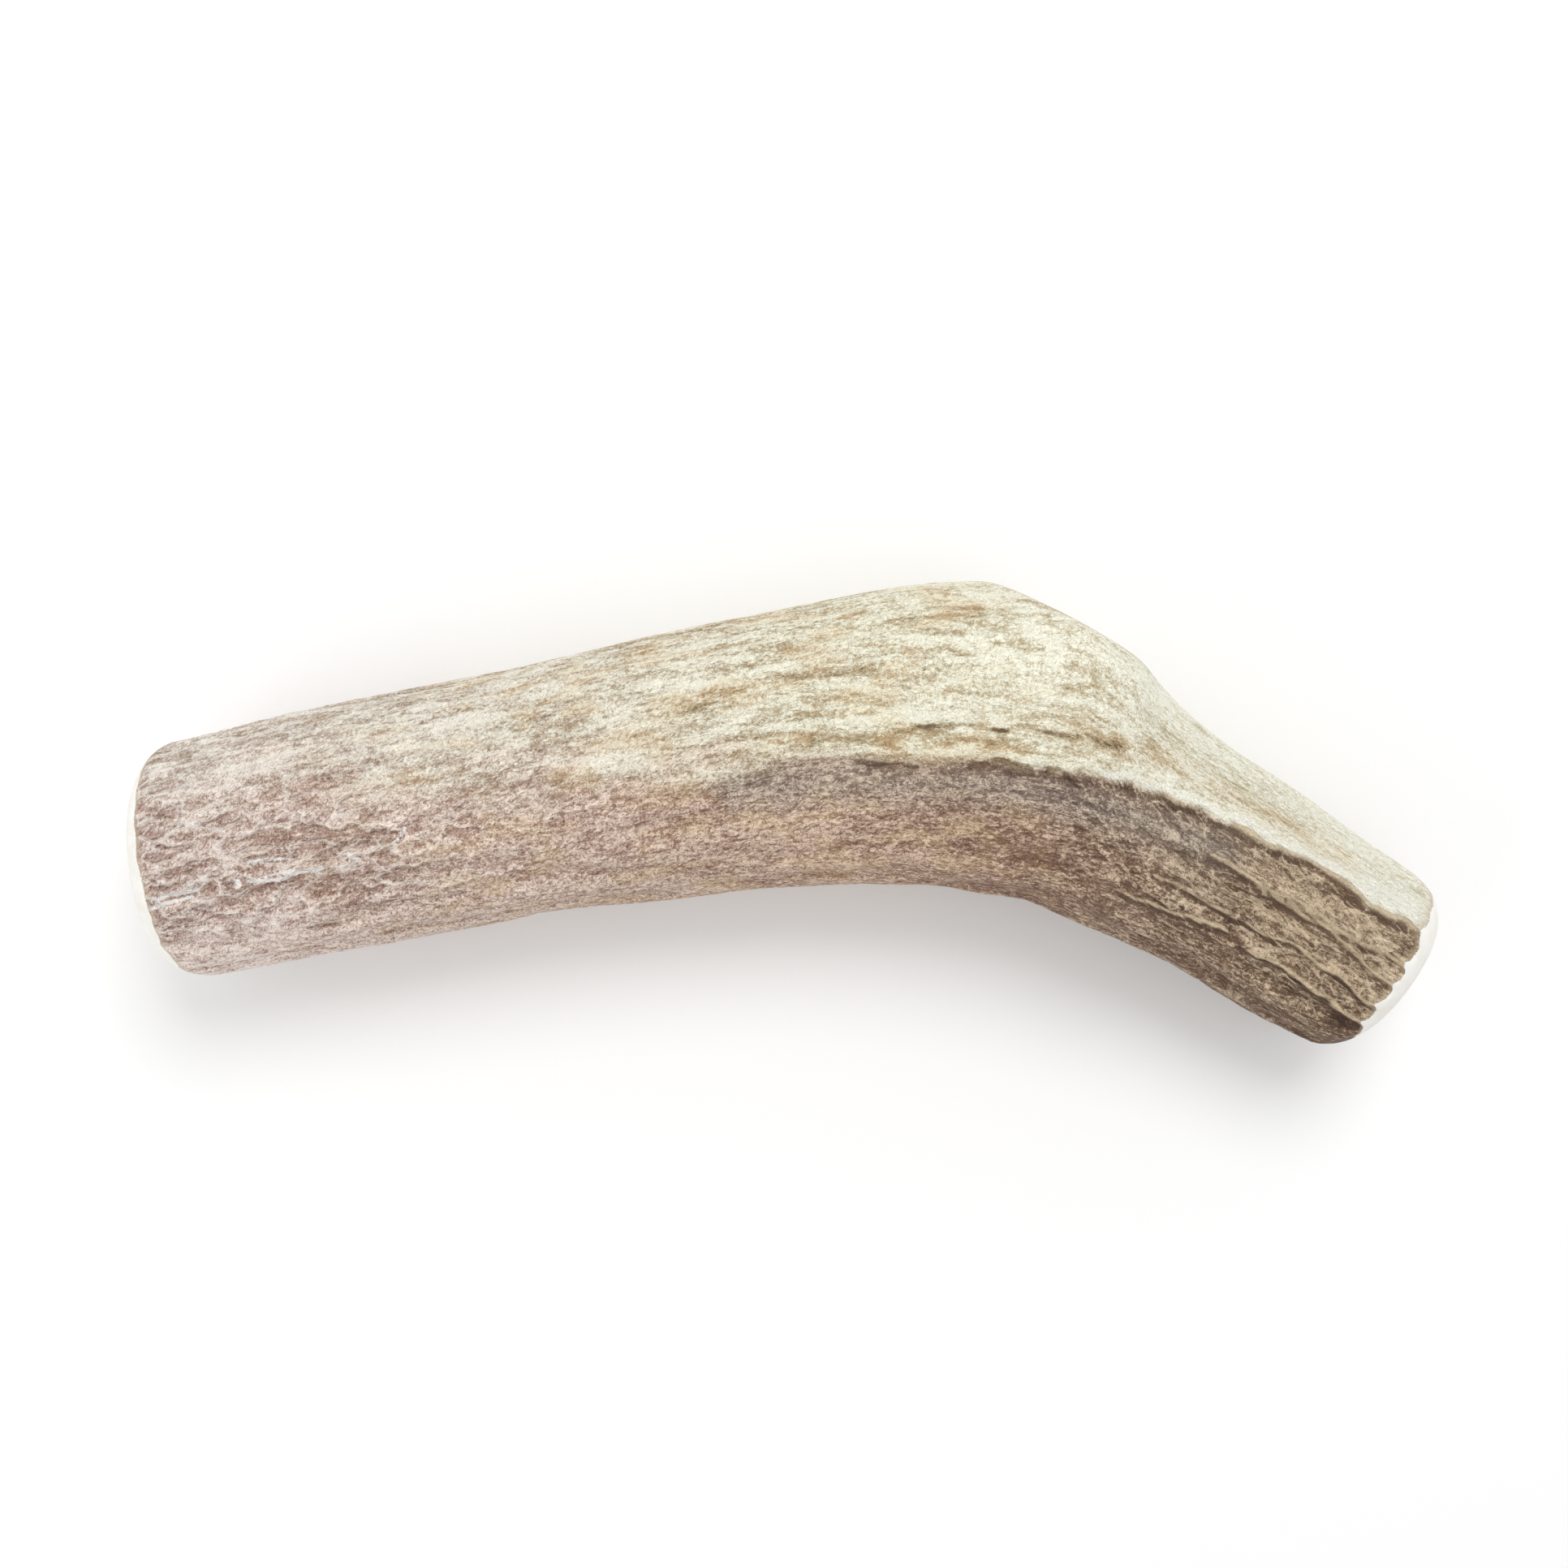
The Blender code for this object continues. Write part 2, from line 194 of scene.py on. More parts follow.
# The flat layout, from 0 to 1 each way. The skin has a margin, a size and a seam on its underside. Each sawn
# face has its middle and its way across in plan, and its place in the layout. Both share one scale.
LAYOUT_MARGIN = 0.005
SKIN_LAYOUT = (0.99, 0.84)
SEAM_COLUMN = COLUMNS * 3 // 4
FACE_LAYOUT = {
    "thick": ((-93.987, -7.345), (-0.1126, 0.9936), 0.07),
    "thin": ((89.59, -24.545), (0.562, 0.8271), 0.22),
}
FACE_MIDDLE_HEIGHT = 15
FACE_LAYOUT_SCALE = 0.13 / 24
FACE_LAYOUT_PLACE = 0.925

# The kinds of patch in the bark and the core: each one's length along the grain, width across it, and where
# its noise starts.
PATCHES = {
    "border coarse": (14, 3.0, 3),
    "border fine": (4, 1.6, 5),
    "warp": (16, 6, 11),
    "net": (5.0, 1.8, 37),
    "net detail": (2.0, 0.8, 39),
    "net region": (15, 6, 41),
    "strand": (10, 1.3, 17),
    "strand detail": (4.5, 0.75, 19),
    "strand region": (12, 6, 23),
    "granules": (1.3, 0.9, 31),
    "ragged": (2.2, 1.1, 43),
    "wavy": (4.0, 3.0, 83),
    "broken": (4.5, 2.5, 45),
    "blotch": (9, 2.4, 47),
    "small blotch": (3.6, 1.2, 53),
    "cloud": (14, 9, 59),
    "streak": (13, 1.2, 61),
    "fine streak": (6, 0.7, 67),
    "ochre": (8, 3, 73),
    "small ochre": (3, 1.4, 79),
    "calm": (9, 5, 89),
    "core wobble": (3.0, 3.0, 71),
    "core pit": (1.1, 1.1, 75),
}
# Mixes of them: the share of each kind.
MIXES = {
    "border": (("border coarse", 0.9), ("border fine", 0.5)),
    "net": (("net", 1), ("net detail", 0.45)),
    "strand": (("strand", 1), ("strand detail", 0.4)),
    "blotch": (("blotch", 0.5), ("small blotch", 0.35)),
    "streak": (("streak", 0.55), ("fine streak", 0.5)),
    "ochre": (("ochre", 1), ("small ochre", 0.5)),
}
WARP_DISTANCE = 1.2
# Traced lines waver by this much across the antler, more where the bark is ragged, and by a share of that
# along it.
WAVY_DISTANCE = 0.7
WAVE_RAGGEDNESS = 0.3
WAVE_SLANT = 0.3
# The grain of the bark follows this line past the bend on its near side, and the antler's middle elsewhere.
GRAIN_LINE = [(-20, 7.5), *LONG_CREST, (105, -22.9)]
GRAIN_LINE_START = (-10, 30)
GRAIN_LINE_BORDER = (4, 18)
# How much shorter the grain is, along x. It is counted from the bend.
GRAIN_SHORTENING = ((-95, 1.5), (-40, 1.25), (0, 1.0), (50, 0.85), (95, 0.85))
BEND_X = 42

# The border between the worn pale side and the stained side, in plan, and how softly it runs along x.
BORDER = (
    (-94.5, 4.9), (-76.7, 4.9), (-59.3, 4.7), (-42.3, 5.1), (-31, 6.4), (-14.1, 8), (2.7, 8),
    (15.4, 8.3), (28.1, 7.9), (37.7, 6.9), (48.7, 4.2), (57.5, 0.9), (66.8, -3.5), (76.9, -8.4),
    (80.9, -11.4), (86.3, -14.5), (93.5, -18.6),
)
BORDER_SOFTNESS = (
    (-95, 9.0), (-60, 8.0), (-30, 6.5), (0, 3.6), (15, 2.0), (30, 1.2), (50, 0.95), (63, 0.6), (95, 0.45)
)
UNDERSIDE_BORDER_SHIFT = 9

# How much of the net of crests and pits there is along x, on the stained side and on the worn side,
# and how much of the fine dark strands.
NET_STAINED = ((-95, 1.0), (-62, 1.0), (-42, 0.45), (-20, 0.2), (30, 0.2), (48, 0.6), (60, 0.75), (95, 0.7))
NET_WORN = ((-95, 0.45), (-60, 0.4), (-30, 0.2), (30, 0.1), (95, 0.12))
STRANDS_STAINED = ((-95, 0.45), (-60, 0.35), (-20, 0.4), (30, 0.5), (50, 0.8), (95, 0.8))
STRANDS_WORN = ((-95, 0.8), (-50, 0.6), (-10, 0.4), (40, 0.35), (60, 0.5), (95, 0.5))
NET_REGION_BORDER = (-0.6, 0.1)
NET_LESS_ON_NEAR_SIDE = 0.7
NET_NEAR_SIDE_BORDER = (0.4, 0.75)
NET_LINE_WIDTH = 0.16
NET_LINE_HEIGHT = 0.16
NET_PIT_BORDER = (0.12, 0.45)
NET_PIT_DEPTH = 0.36
STRAND_REGION_BORDER = (-0.5, 0.2)
STRAND_LINE_WIDTH = 0.2
STRAND_DEPTH = 0.24
GRANULE_HEIGHT = 0.05

# How dark each side of the skin is along x, how much its blotches, streaks, hollows (with the painted shade
# below ledges) and ridges add to that, and how much darker the stained skin is on the near side.
STAINED_DARKNESS = (
    (-95, 0.28), (-65, 0.35), (-30, 0.5), (5, 0.44), (28, 0.66), (48, 0.6), (62, 0.42), (95, 0.4)
)
WORN_DARKNESS = ((-95, 0.34), (-50, 0.4), (0, 0.4), (30, 0.34), (50, 0.33), (70, 0.18), (95, 0.16))
STAINED_ADDED = (0.3, 0.55, 1, -0.2)
WORN_ADDED = (0.55, 1.1, 0.55, -0.4)
NEAR_SIDE_DARKNESS = (
    (-95, -0.1), (-50, -0.06), (-20, 0.0), (5, 0.0), (40, 0.16), (50, 0.16), (75, 0.55), (95, 0.7)
)
NEAR_SIDE_BORDER = (0.1, 0.8)
# The stained side's blotches and streaks weaken round the middle of the beam, the worn side's on the arm.
CLOUD_SHARE = 0.35
STAINED_MIDDLE = -15
STAINED_MIDDLE_BORDER = (30, 60)
STAINED_MIDDLE_SHARE = 0.55
WORN_ARM_BORDER = (52, 75)
WORN_ARM_SHARE = 0.55
# What makes a hollow dark: furrows and pits (at the bend and at the thick end); and painted shade below
# ledges, where the bark falls away from the key light.
FURROW_DARKNESS = 0.25
PIT_DARKNESS = (0.25, 0.45)
PIT_DARKNESS_BORDER = (40, 70)
LEDGE_PAINTED_SHADE = 0.1
STEEPEST_LEDGE = 1.5
RIDGE_BREAK_BORDER = (-0.6, 0.0)
# The band of greyer skin below the long crest, and the smooth calm skin by the stump and down the far side
# of the bend: each one's points in plan and half width.
GREY_BAND = [(-8, 4.5), (10, 5.5), (24, 5.2), (37, 3.4), (50, -0.6), (60, -4.5)]
GREY_HALF_WIDTH = 3.2
CALM_BAND = [(36, 36), (44, 26), (50, 20), (57, 15.5), (68, 9)]
CALM_HALF_WIDTH = 4.5
CALM_SHARE = 0.55
CALM_EVENNESS = (0.7, 0.6)
CALM_DARKNESS = 0.2
# The ochre band along the worn side of the thin arm, and where the ochre patches begin and end along x.
OCHRE_BAND = [(38, 13), (45.7, 9.6), (53.3, 8), (57.9, 5.2), (64.5, 1.6), (72, -2.3), (80, -6.8)]
OCHRE_HALF_WIDTH = 1.8
OCHRE_EVENNESS = (0.8, 0.6)
OCHRE_BORDER = (-0.1, 0.5)
OCHRE_START = (-85, -40)
OCHRE_END = (25, 45)

# Marks traced on the upper side: half width, darkness (less than 0 is pale), depth (less than 0 is raised)
# and points in plan.
MARKS = (
    (2.2, 0.12, 0, [(-6, 5.4), (10, 6.2), (24, 6), (37, 4.4), (50, 0.6)]),
    (0.5, 0.5, 0.3, [(9.4, 7.1), (13, 7.4), (16.4, 7.3)]),
    (0.35, 0.6, 0.2, [(19.4, 7.1), (23, 6.8)]),
    (0.4, 0.4, 0.3, [(24.2, 6.9), (27, 6.9)]),
    (0.55, 0.5, 0.4, [(27.4, 7.1), (29.5, 7.2), (31.6, 6.7)]),
    (0.55, 0.5, 0.4, [(34.7, 6.5), (37, 6.1)]),
    (0.65, 0.5, 0.4, [(37.8, 5.5), (40.7, 4.1)]),
    (0.4, 0.6, 0.3, [(52.7, 1.7), (56.8, 0.8)]),
    (0.8, 0.6, 0.35, [(76.3, -9.9), (79.4, -11.8)]),
    (0.5, 0.6, 0.3, [(82.4, -12.9), (84.6, -14)]),
    (0.35, 0.8, 0.25, [(12.3, 9.9), (17.8, 10.3), (26.1, 10.3), (29.3, 9.9)]),
    (0.45, 1, 0.25, [(24.2, 12.6), (29.5, 12.3)]),
    (0.45, 0.9, 0.2, [(16.5, 12.8), (20.5, 12.9), (24.5, 12.6), (30, 12.3), (36, 12.2), (40, 11.3)]),
    (0.35, 0.7, 0.35, [(57, -11.4), (60.9, -13.7)]),
    (0.35, 0.7, 0.3, [(58.9, -16), (61.7, -17.6), (63.5, -18.7)]),
    (0.4, 0.6, 0.3, [(39.2, -1.5), (43.9, -3.7), (47.4, -4.1)]),
    (0.4, 0.6, 0.3, [(45.6, -9.3), (48.7, -10.8), (54.6, -12.8)]),
    (0.35, 0.4, 0.15, [(5, -5.1), (9.7, -3.3)]),
    (0.35, 0.4, 0.15, [(15.3, -4.2), (17.8, -3.3)]),
    (0.6, 0.7, 0.25, [(39.9, 11.8), (42.5, 10.8), (45.2, 9.2)]),
    (0.7, 1.3, 0.4, [(77, -29.2), (82.3, -31.4)]),
    (0.3, 0.8, 0.15, [(89.7, -10.2), (92.7, -12)]),
    (0.25, 0.7, 0.15, [(89.2, -13.2), (92.5, -14.3)]),
    (0.3, 0.8, 0.15, [(86.2, -8.7), (86.7, -9.1)]),
    (0.8, 0.5, 0.1, [(-53.4, -1.9), (-51.8, -1.9)]),
    (0.35, 0.7, 0.2, [(-68.6, -16.3), (-66.4, -15.7), (-64.1, -15.2)]),
    (0.45, 0.6, 0.15, [(-15.9, 14.2), (-14, 14.4)]),
    (0.16, 0.9, 0.12, [(-17.1, 15.6), (-17, 13.2)]),
    (0.16, 0.9, 0.12, [(-16.5, 15.7), (-16.4, 13)]),
    (0.14, 0.8, 0.1, [(-17, 11.2), (-16.8, 9.4)]),
    (0.4, 0.7, 0.15, [(-8.4, 19.3), (-3, 19.9), (0.9, 20.3), (5.5, 20.6), (11, 20.9)]),
    (0.45, 0.5, 0.15, [(-5.7, 11.6), (0.9, 12.1), (7.9, 12.5)]),
    (0.55, 0.4, 0.2, [(-77, 5.4), (-72, 5.7)]),
    (0.6, 0.4, 0.25, [(-66.5, 5.9), (-62, 6.6)]),
    (0.6, 0.5, 0.2, [(-41, 4.6), (-36.1, 5.2)]),
    (0.6, -0.8, -0.15, [(36.3, 7.8), (38.9, 7.2)]),
    (0.55, -1, -0.2, [(41.9, 6.5), (47.2, 5), (51.8, 3.9), (54.5, 2.7), (59.3, 0.8)]),
    (0.4, -0.5, -0.1, [(2.7, 8.4), (8.3, 9.3), (15.4, 9.6), (22.5, 9.3), (28.1, 8.5), (35.1, 7.8)]),
    (1.1, 0.45, 0.05, [(2, 10.8), (8.3, 11.4), (16, 11.7), (24, 11.3), (32, 10.3), (40, 8.8)]),
    (1.2, -0.7, 0, [(7.2, 13.4), (12.7, 14.1), (19.4, 14.6), (25, 14.2), (31.7, 14.2)]),
    (1.2, -0.8, 0, [(25.8, 32.4), (28.8, 29.9)]),
    (1.9, -0.9, 0, [(32.9, 28.5), (37.3, 23.4)]),
    (1.6, 0.5, 0, [(26.4, 29.5), (32.9, 25)]),
    (1.6, 0.5, 0, [(36, 27.4), (39.4, 21.4)]),
    (1.4, 0.3, 0, [(42.3, 22), (48.2, 17.7)]),
    (0.8, 0.5, 0, [(19.6, 26), (23.8, 25.9)]),
    (1.6, 0.4, 0, [(40, 11.5), (48.8, 9.5), (53.9, 7.8), (58.7, 5.4), (64.5, 2.2), (72, -1.8)]),
    (1.5, -0.6, 0, [(44.6, 25), (47.3, 21.8), (51.3, 18.5), (56.4, 16.2)]),
    (0.35, -0.6, -0.15, [(47.6, -7.1), (51.5, -8.7)]),
    (0.25, -0.9, -0.15, [(54, 8.4), (55.6, 6.6), (56.7, 5.8)]),
    (1.3, -0.9, -0.1, [(61.9, 0.6), (71.4, -4.4), (81.1, -9.1), (88.9, -13.2), (93, -15.8)]),
    (1.4, -0.5, 0, [(-74.6, 7.9), (-67, 8.9), (-60.6, 10.1)]),
    (0.55, -0.6, -0.15, [(-41, 5.6), (-36.1, 6.3)]),
    (0.6, -0.5, -0.15, [(-26.5, 8), (-22.6, 9.1), (-19, 9.7)]),
)
MARK_RAGGEDNESS = 0.7
MARK_LEAST_WIDTH = 0.05
MARK_BREAK_BORDER = (-0.3, 0.2)
MARK_BROKEN_SHARE = 0.5

# Thin tan crests on the upper side, each with a line of painted shade just below it, on its near side.
CREST_LINES = (
    [(44, 5.3), (48.7, 4.2), (57.5, 0.9), (66.8, -3.5), (76.9, -8.4), (80.9, -11.4), (86.3, -14.5),
     (92, -17.8)],
    [(58.5, -5), (65.3, -8.9), (73.3, -13.2), (81.7, -18), (91.5, -23.5)],
    [(66.2, -10.3), (76.5, -16), (82, -21.4), (88.6, -26.1)],
    [(50.5, -8), (56.7, -10.9), (63.9, -14.8), (70.6, -18.4), (77.5, -23.1), (86.2, -29.1)],
    [(46.5, -10.5), (53.9, -13.3), (60.3, -15.3), (66.5, -19.8), (72.5, -23.1), (84.1, -31.8)],
)
# Lines of painted shade at the bend: below two pale crests, and round the knobs at the edge of the stained
# side.
PAINTED_SHADE_LINES = (
    [(14.1, 12.4), (18, 12.7), (22, 12.6), (25, 12.3), (29.7, 12.3)],
    [(30.1, 12.7), (34, 12.4), (38.5, 11.8), (42, 10.9), (45.7, 9.2)],
    [(8.7, 7.5), (12, 7.7), (17.3, 7.5)],
    [(24.3, 6.9), (26.6, 7.3), (27.8, 7.9), (30.5, 7.7), (32.4, 7.5), (33.2, 6.3), (31.8, 6.1), (29.2, 6.3),
     (25.7, 6.5)],
    [(34.8, 6.5), (35.5, 7.1), (37.1, 6.7), (37.9, 5.7), (39.4, 5.9), (41, 5), (41.2, 4.2), (38.6, 4.6)],
)
PAINTED_SHADE_LINE_THINNER = 0.1
CREST_LINE_WIDTHS = (0.16, 0.48)
PAINTED_SHADE_LINE_WIDTHS = (0.15, 0.6)
PAINTED_SHADE_LINE_SHIFT = (-0.25, -0.5)
CREST_BREAK_BORDER = (-0.75, -0.25)
FAR_AWAY = 3.0

# Thin chalk-white scratches on the upper side of the thick end.
CHALK_LINES = (
    [(-90.1, -11.2), (-88.8, -11.3), (-86.3, -10.6), (-84.6, -10.4), (-82.7, -9.9), (-82.5, -10.7)],
    [(-89.8, -12.8), (-88.7, -12.3), (-87.5, -12), (-85.8, -11.7), (-84.6, -11.4), (-83.4, -11)],
    [(-77.6, -8.5), (-76.9, -8.7), (-76.7, -9.6), (-77.3, -9.6)],
    [(-75.6, -8.7), (-73.9, -8.5), (-73.2, -8), (-71.9, -7.8), (-70.5, -7.6), (-68.8, -6.8)],
    [(-73.4, -8.7), (-71.5, -8.6), (-70.5, -8.4), (-68.8, -7.5), (-67.1, -7.2), (-65.1, -6.8)],
    [(-75.6, -6.3), (-73.9, -5.8), (-71.9, -5.5), (-70.5, -5.5)],
    [(-61.7, -4.8), (-61, -5.5), (-60.3, -5.6)],
    [(-55.6, -4.5), (-53.9, -1.7), (-53.5, -1.1)],
)
CHALK_LINE_WIDTHS = (0.14, 0.4)
# How many times the other lines' raggedness they have, and what share of the wavering.
CHALK_RAGGEDNESS = 1.8
CHALK_WAVE = 0.5

# Colours as red, green and blue from 0 to 255. The skin's tones drift along the antler: in the middle, at
# the thick end and at the thin end.
SKIN_TONES = {
    "worn_pale": ((248, 246, 224), (248, 241, 228), (248, 247, 231)),
    "worn_dark": ((175, 154, 116), (176, 153, 135), (199, 186, 152)),
    "stained_pale": ((238, 212, 188), (254, 238, 227), (220, 198, 168)),
    "stained_dark": ((139, 104, 86), (172, 140, 126), (113, 88, 69)),
}
TO_THICK_END_BORDER = (-20, 80)
TO_THIN_END_BORDER = (5, 75)
UMBER = (84, 66, 56)
OCHRE_PALE = (232, 208, 162)
OCHRE_DARK = (190, 156, 112)
GREY_PALE = (200, 190, 176)
GREY_DARK = (116, 104, 98)
# How far the ochre patches and the grey band pull the tones.
TONE_PULLS = (
    ("worn_pale", "ochre", OCHRE_PALE, 0.3),
    ("worn_dark", "ochre", OCHRE_DARK, 0.6),
    ("stained_pale", "ochre", OCHRE_PALE, 0.3),
    ("stained_dark", "ochre", OCHRE_DARK, 0.35),
    ("stained_pale", "grey", GREY_PALE, 0.5),
    ("stained_dark", "grey", GREY_DARK, 0.75),
)
EDGE_TAN = (216, 194, 162)
CHALK_WHITE = (252, 249, 244)
SANDED_WHITE = (247, 246, 241)
SANDED_CREAM = (242, 238, 229)
CORE_TAN = (205, 186, 160)
PORE_BROWN = (112, 88, 70)
FLOOR_COLOUR = (252, 252, 252)
FLOOR_HALF_WIDTH = 600
FLOOR_ROUGHNESS = 0.9

# The material's fine noises: each one's stretch along the grain, scale per millimetre, detail, roughness and
# distortion.
FINE_NOISES = {
    "granules": (0.6, 2.3, 3.0, 0.68, 0.6),
    "flecks": (0.28, 1.5, 2.0, 0.6, 0.0),
    "dust": (1.0, 5.0, 1.0, 0.5, 0.0),
    "curls": (0.75, 1.35, 1.0, 0.5, 1.4),
}
# How much the granules fray the lines, how many times that the border, and how much the sanded edge.
LINE_RAGGEDNESS = 0.28
BORDER_RAGGEDNESS = 3.0
EDGE_RAGGEDNESS = 0.4
# The widths of the lines in the noises, and where in its noise the net's edge of painted shade lies, on one
# side of each crest.
CURL_WIDTH = 0.06
NET_WIDTH = 0.12
NET_SHADE_EDGE_PLACE = 0.25
NET_SHADE_EDGE_WIDTH = 0.13
STRAND_WIDTH = 0.15
# What darkens the skin, and what raises it: less than 0 is paler or lower.
# The line below each crest and the edge beside each net crest darken the skin as painted shade.
DARKENED_BY = {
    "granules": 3.3, "flecks": 1.4, "painted_shade_line": 0.75, "strand_line": 0.6, "net_line": -1.1, "net_shade_edge": 0.4
}
RAISED_BY = {
    "granules": -1.0, "dust": 0.3, "flecks": -0.8, "curl_line": -0.18, "strand_line": -0.5, "net_line": 0.8,
    "net_shade_edge": -0.5, "crest_line": 1.2, "painted_shade_line": -1.0,
}
# How dark the curls are on the stained and on the worn side, less what each side's own darkness has of them.
CURL_DARKNESS = (0.65, 0.45)
CURL_ALREADY = (0.3, 0.6)
# Between which darknesses the skin goes from its pale to its dark tone, on to umber, and down to chalk, with
# the shares of these and of the lines, and the dust's shading.
DARK_BORDER = (-0.3, 1.15)
UMBER_BORDER = (1.0, 1.9)
UMBER_SHARE = 0.8
CHALK_BORDER = (-1.3, -0.7)
CHALK_SHARE = 0.9
CHALK_LINE_SHARE = 0.95
CREST_TAN_SHARE = 0.85
DUST_BORDER = (-0.2, 0.2)
DUST_SHADES = (0.9, 1.08)
# Where the bark gives way to sanded horn, and the tan edge of the bark before it.
HORN_BORDER = (0.0, 0.12)
TAN_EDGE_BORDER = (-0.4, -0.05)
TAN_EDGE_SHARE = 0.5
# How rough the pale bark, the dark bark and the horn are. In the fine relief, the bark's middle level lies
# under the horn's.
BARK_ROUGHNESS = (0.5, 0.72)
HORN_ROUGHNESS = 0.55
SPECULAR_LEVEL = 0.28
BARK_LEVEL = -0.75
RELIEF_STRENGTH = 0.9
RELIEF_DEPTH = 0.35

# The sanded horn: its clouds of cream, the tan of its core, the pores (wider in the core and in the clouds)
# and its low waves.
HORN_NOISE = (0.35, 3.0, 0.6)
HORN_CLOUD_BORDER = (0.3, 0.7)
CORE_TAN_BORDER = (0.0, 0.6)
CORE_TAN_SHARE = 0.85
CORE_FULL = 0.8
PORE_SCALES = (1.0, 1.9)
PORE_SIZE = 0.5
PORE_SIZE_SPREAD = (-0.12, 0.06)
PORE_RIM = (-0.06, 0.1)
PORE_SHARE = 0.8
HORN_WAVES = 0.3

# The light of the room, and each lamp's place and width in metres and its power in watts.
ROOM_LIGHT = 0.7
KEY_LIGHT = ((0.13, 0.4, 0.66), 0.4, 2.4)
FILL_LIGHT = ((-0.62, -0.35, 0.4), 0.6, 1.2)

# The camera looks straight down, in millimetres and pixels of the whole picture.
PICTURE_SIDE = 1932
MILLIMETRES_PER_PIXEL = 0.12017
CAMERA_OVER = (-1.12, 4.4)
MIDDLE_HEIGHT = 17.3
CAMERA_ABOVE_MIDDLE = 254.7
SENSOR_WIDTH = 36
CLIP_START = 10


def smooth_step(value, low, high):
    """0 below low, 1 above high, and an even rise between them."""
    share = np.clip((value - low) / (high - low), 0, 1)
    return share * share * (3 - 2 * share)


def smooth_least(first, second, softness):
    """The smaller of two values, rounded over where they cross."""
    return 0.5 * (first + second - np.sqrt((first - second) ** 2 + softness**2))


def mixed(first, second, share):
    """One value or colour blended into another."""
    return first + (second - first) * share


def linear(colour):
    """A colour from 0 to 255 as the light it stands for."""
    value = np.asarray(colour, float) / 255
    return np.where(value <= 0.04045, value / 12.92, ((value + 0.055) / 1.055) ** 2.4)


def through_stations(stations, places):
    """Values on a smooth curve through the stations, at places counted in stations from the first one."""
    values = np.asarray(stations, float).reshape(len(stations), -1)
    padded = np.vstack([2 * values[0] - values[1], values, 2 * values[-1] - values[-2]])
    first = np.clip(np.floor(places).astype(int), 0, len(values) - 2)
    share = (places - first)[:, None]
    a, b, c, d = (padded[first + step] for step in range(4))
    return 0.5 * (
        2 * b
        + (c - a) * share
        + (2 * a - 5 * b + 4 * c - d) * share**2
        + (3 * b - a - 3 * c + d) * share**3
    )


def ring_places():
    """Where each ring lies, in stations and as a length along the beam."""
    fine = np.linspace(0, len(PLAN_STATIONS) - 1, PLAN_SAMPLES)
    plan = through_stations(PLAN_STATIONS, fine)
    middle = (plan[:, :2] + plan[:, 2:]) / 2
    run = np.concatenate([[0], np.cumsum(np.linalg.norm(np.diff(middle, axis=0), axis=1))])
    rim = RIM_LENGTH * (1 - np.cos(np.linspace(0, math.pi / 2, RIM_RINGS)))
    between = np.linspace(RIM_LENGTH, run[-1] - RIM_LENGTH, MIDDLE_RINGS + 2)[1:-1]
    lengths = np.concatenate([rim, between, run[-1] - rim[::-1]])
    return np.interp(lengths, run, fine), lengths


def smooth_sections(places, angles):
    """Points and outward directions of the antler's form without its bark, one ring for each place."""
    plan = through_stations(PLAN_STATIONS, places)
    heights = through_stations(HEIGHT_STATIONS, places)
    thinning = through_stations(FAR_THINNING, places)
    far, near = plan[:, :2], plan[:, 2:]
    middle = (far + near) / 2
    half_width = np.linalg.norm(far - near, axis=1)[:, None] / 2
    across = (far - near) / (2 * half_width)
    half_height = heights[:, 1:] / 2
    middle_height = heights[:, :1] + half_height

    power = 2 / SECTION_SQUARENESS
    sideways = np.sign(np.cos(angles)) * np.abs(np.cos(angles)) ** power
    upward = np.sign(np.sin(angles)) * np.abs(np.sin(angles)) ** power
    side = half_width * sideways
    up = half_height * upward * (1 - np.where(upward > 0, thinning * sideways, 0))

    side_step = np.roll(side, -1, axis=1) - np.roll(side, 1, axis=1)
    up_step = np.roll(up, -1, axis=1) - np.roll(up, 1, axis=1)
    size = np.hypot(side_step, up_step)
    side_out, up_out = up_step / size, -side_step / size

    x = middle[:, :1] + across[:, :1] * side
    y = middle[:, 1:] + across[:, 1:] * side
    outward = np.dstack([across[:, :1] * side_out, across[:, 1:] * side_out, up_out])
    return np.dstack([x, y, middle_height + up]), outward


def furrows(lengths, angles):
    """How much of a furrow there is at each length along the beam and each angle round it, up to about 1."""
    chance = np.random.default_rng(SEED)
    share = np.zeros((len(lengths), len(angles)))
    turns = 2 * math.pi * lengths / FURROW_WAVELENGTH
    for number in range(FURROW_COUNT):
        home = 2 * math.pi * (number + chance.uniform(-FURROW_UNEVENNESS, FURROW_UNEVENNESS)) / FURROW_COUNT
        phases = chance.uniform(0, 2 * math.pi, 4)
        second_wander = SECOND_WANDER_SHARE * np.sin(SECOND_WANDER_TURNS * turns + phases[1])
        wander = FURROW_WANDER * (np.sin(turns + phases[0]) + second_wander)
        swell = np.sin(FURROW_SWELL_TURNS[0] * turns + phases[2])
        swell = swell * np.sin(FURROW_SWELL_TURNS[1] * turns + phases[3])
        strength = FURROW_STRENGTH + FURROW_SWELL * swell
        gap = (angles[None, :] - home - wander[:, None] + math.pi) % (2 * math.pi) - math.pi
        share += strength[:, None] * np.exp(-((gap * NOMINAL_RADIUS / FURROW_WIDTH) ** 2))
    return np.minimum(share, FURROW_DEEPEST_SHARE)


def furrow_depths(lengths, angles):
    """How deep a whole furrow is at each length and angle."""
    places = lengths / lengths[-1] * (len(FURROW_DEPTHS) - 1)
    worn_side = smooth_step(np.cos(angles - WORN_SIDE_ANGLE), *WORN_SIDE_BORDER)
    return through_stations(FURROW_DEPTHS, places) * mixed(1, WORN_SHARE, worn_side)


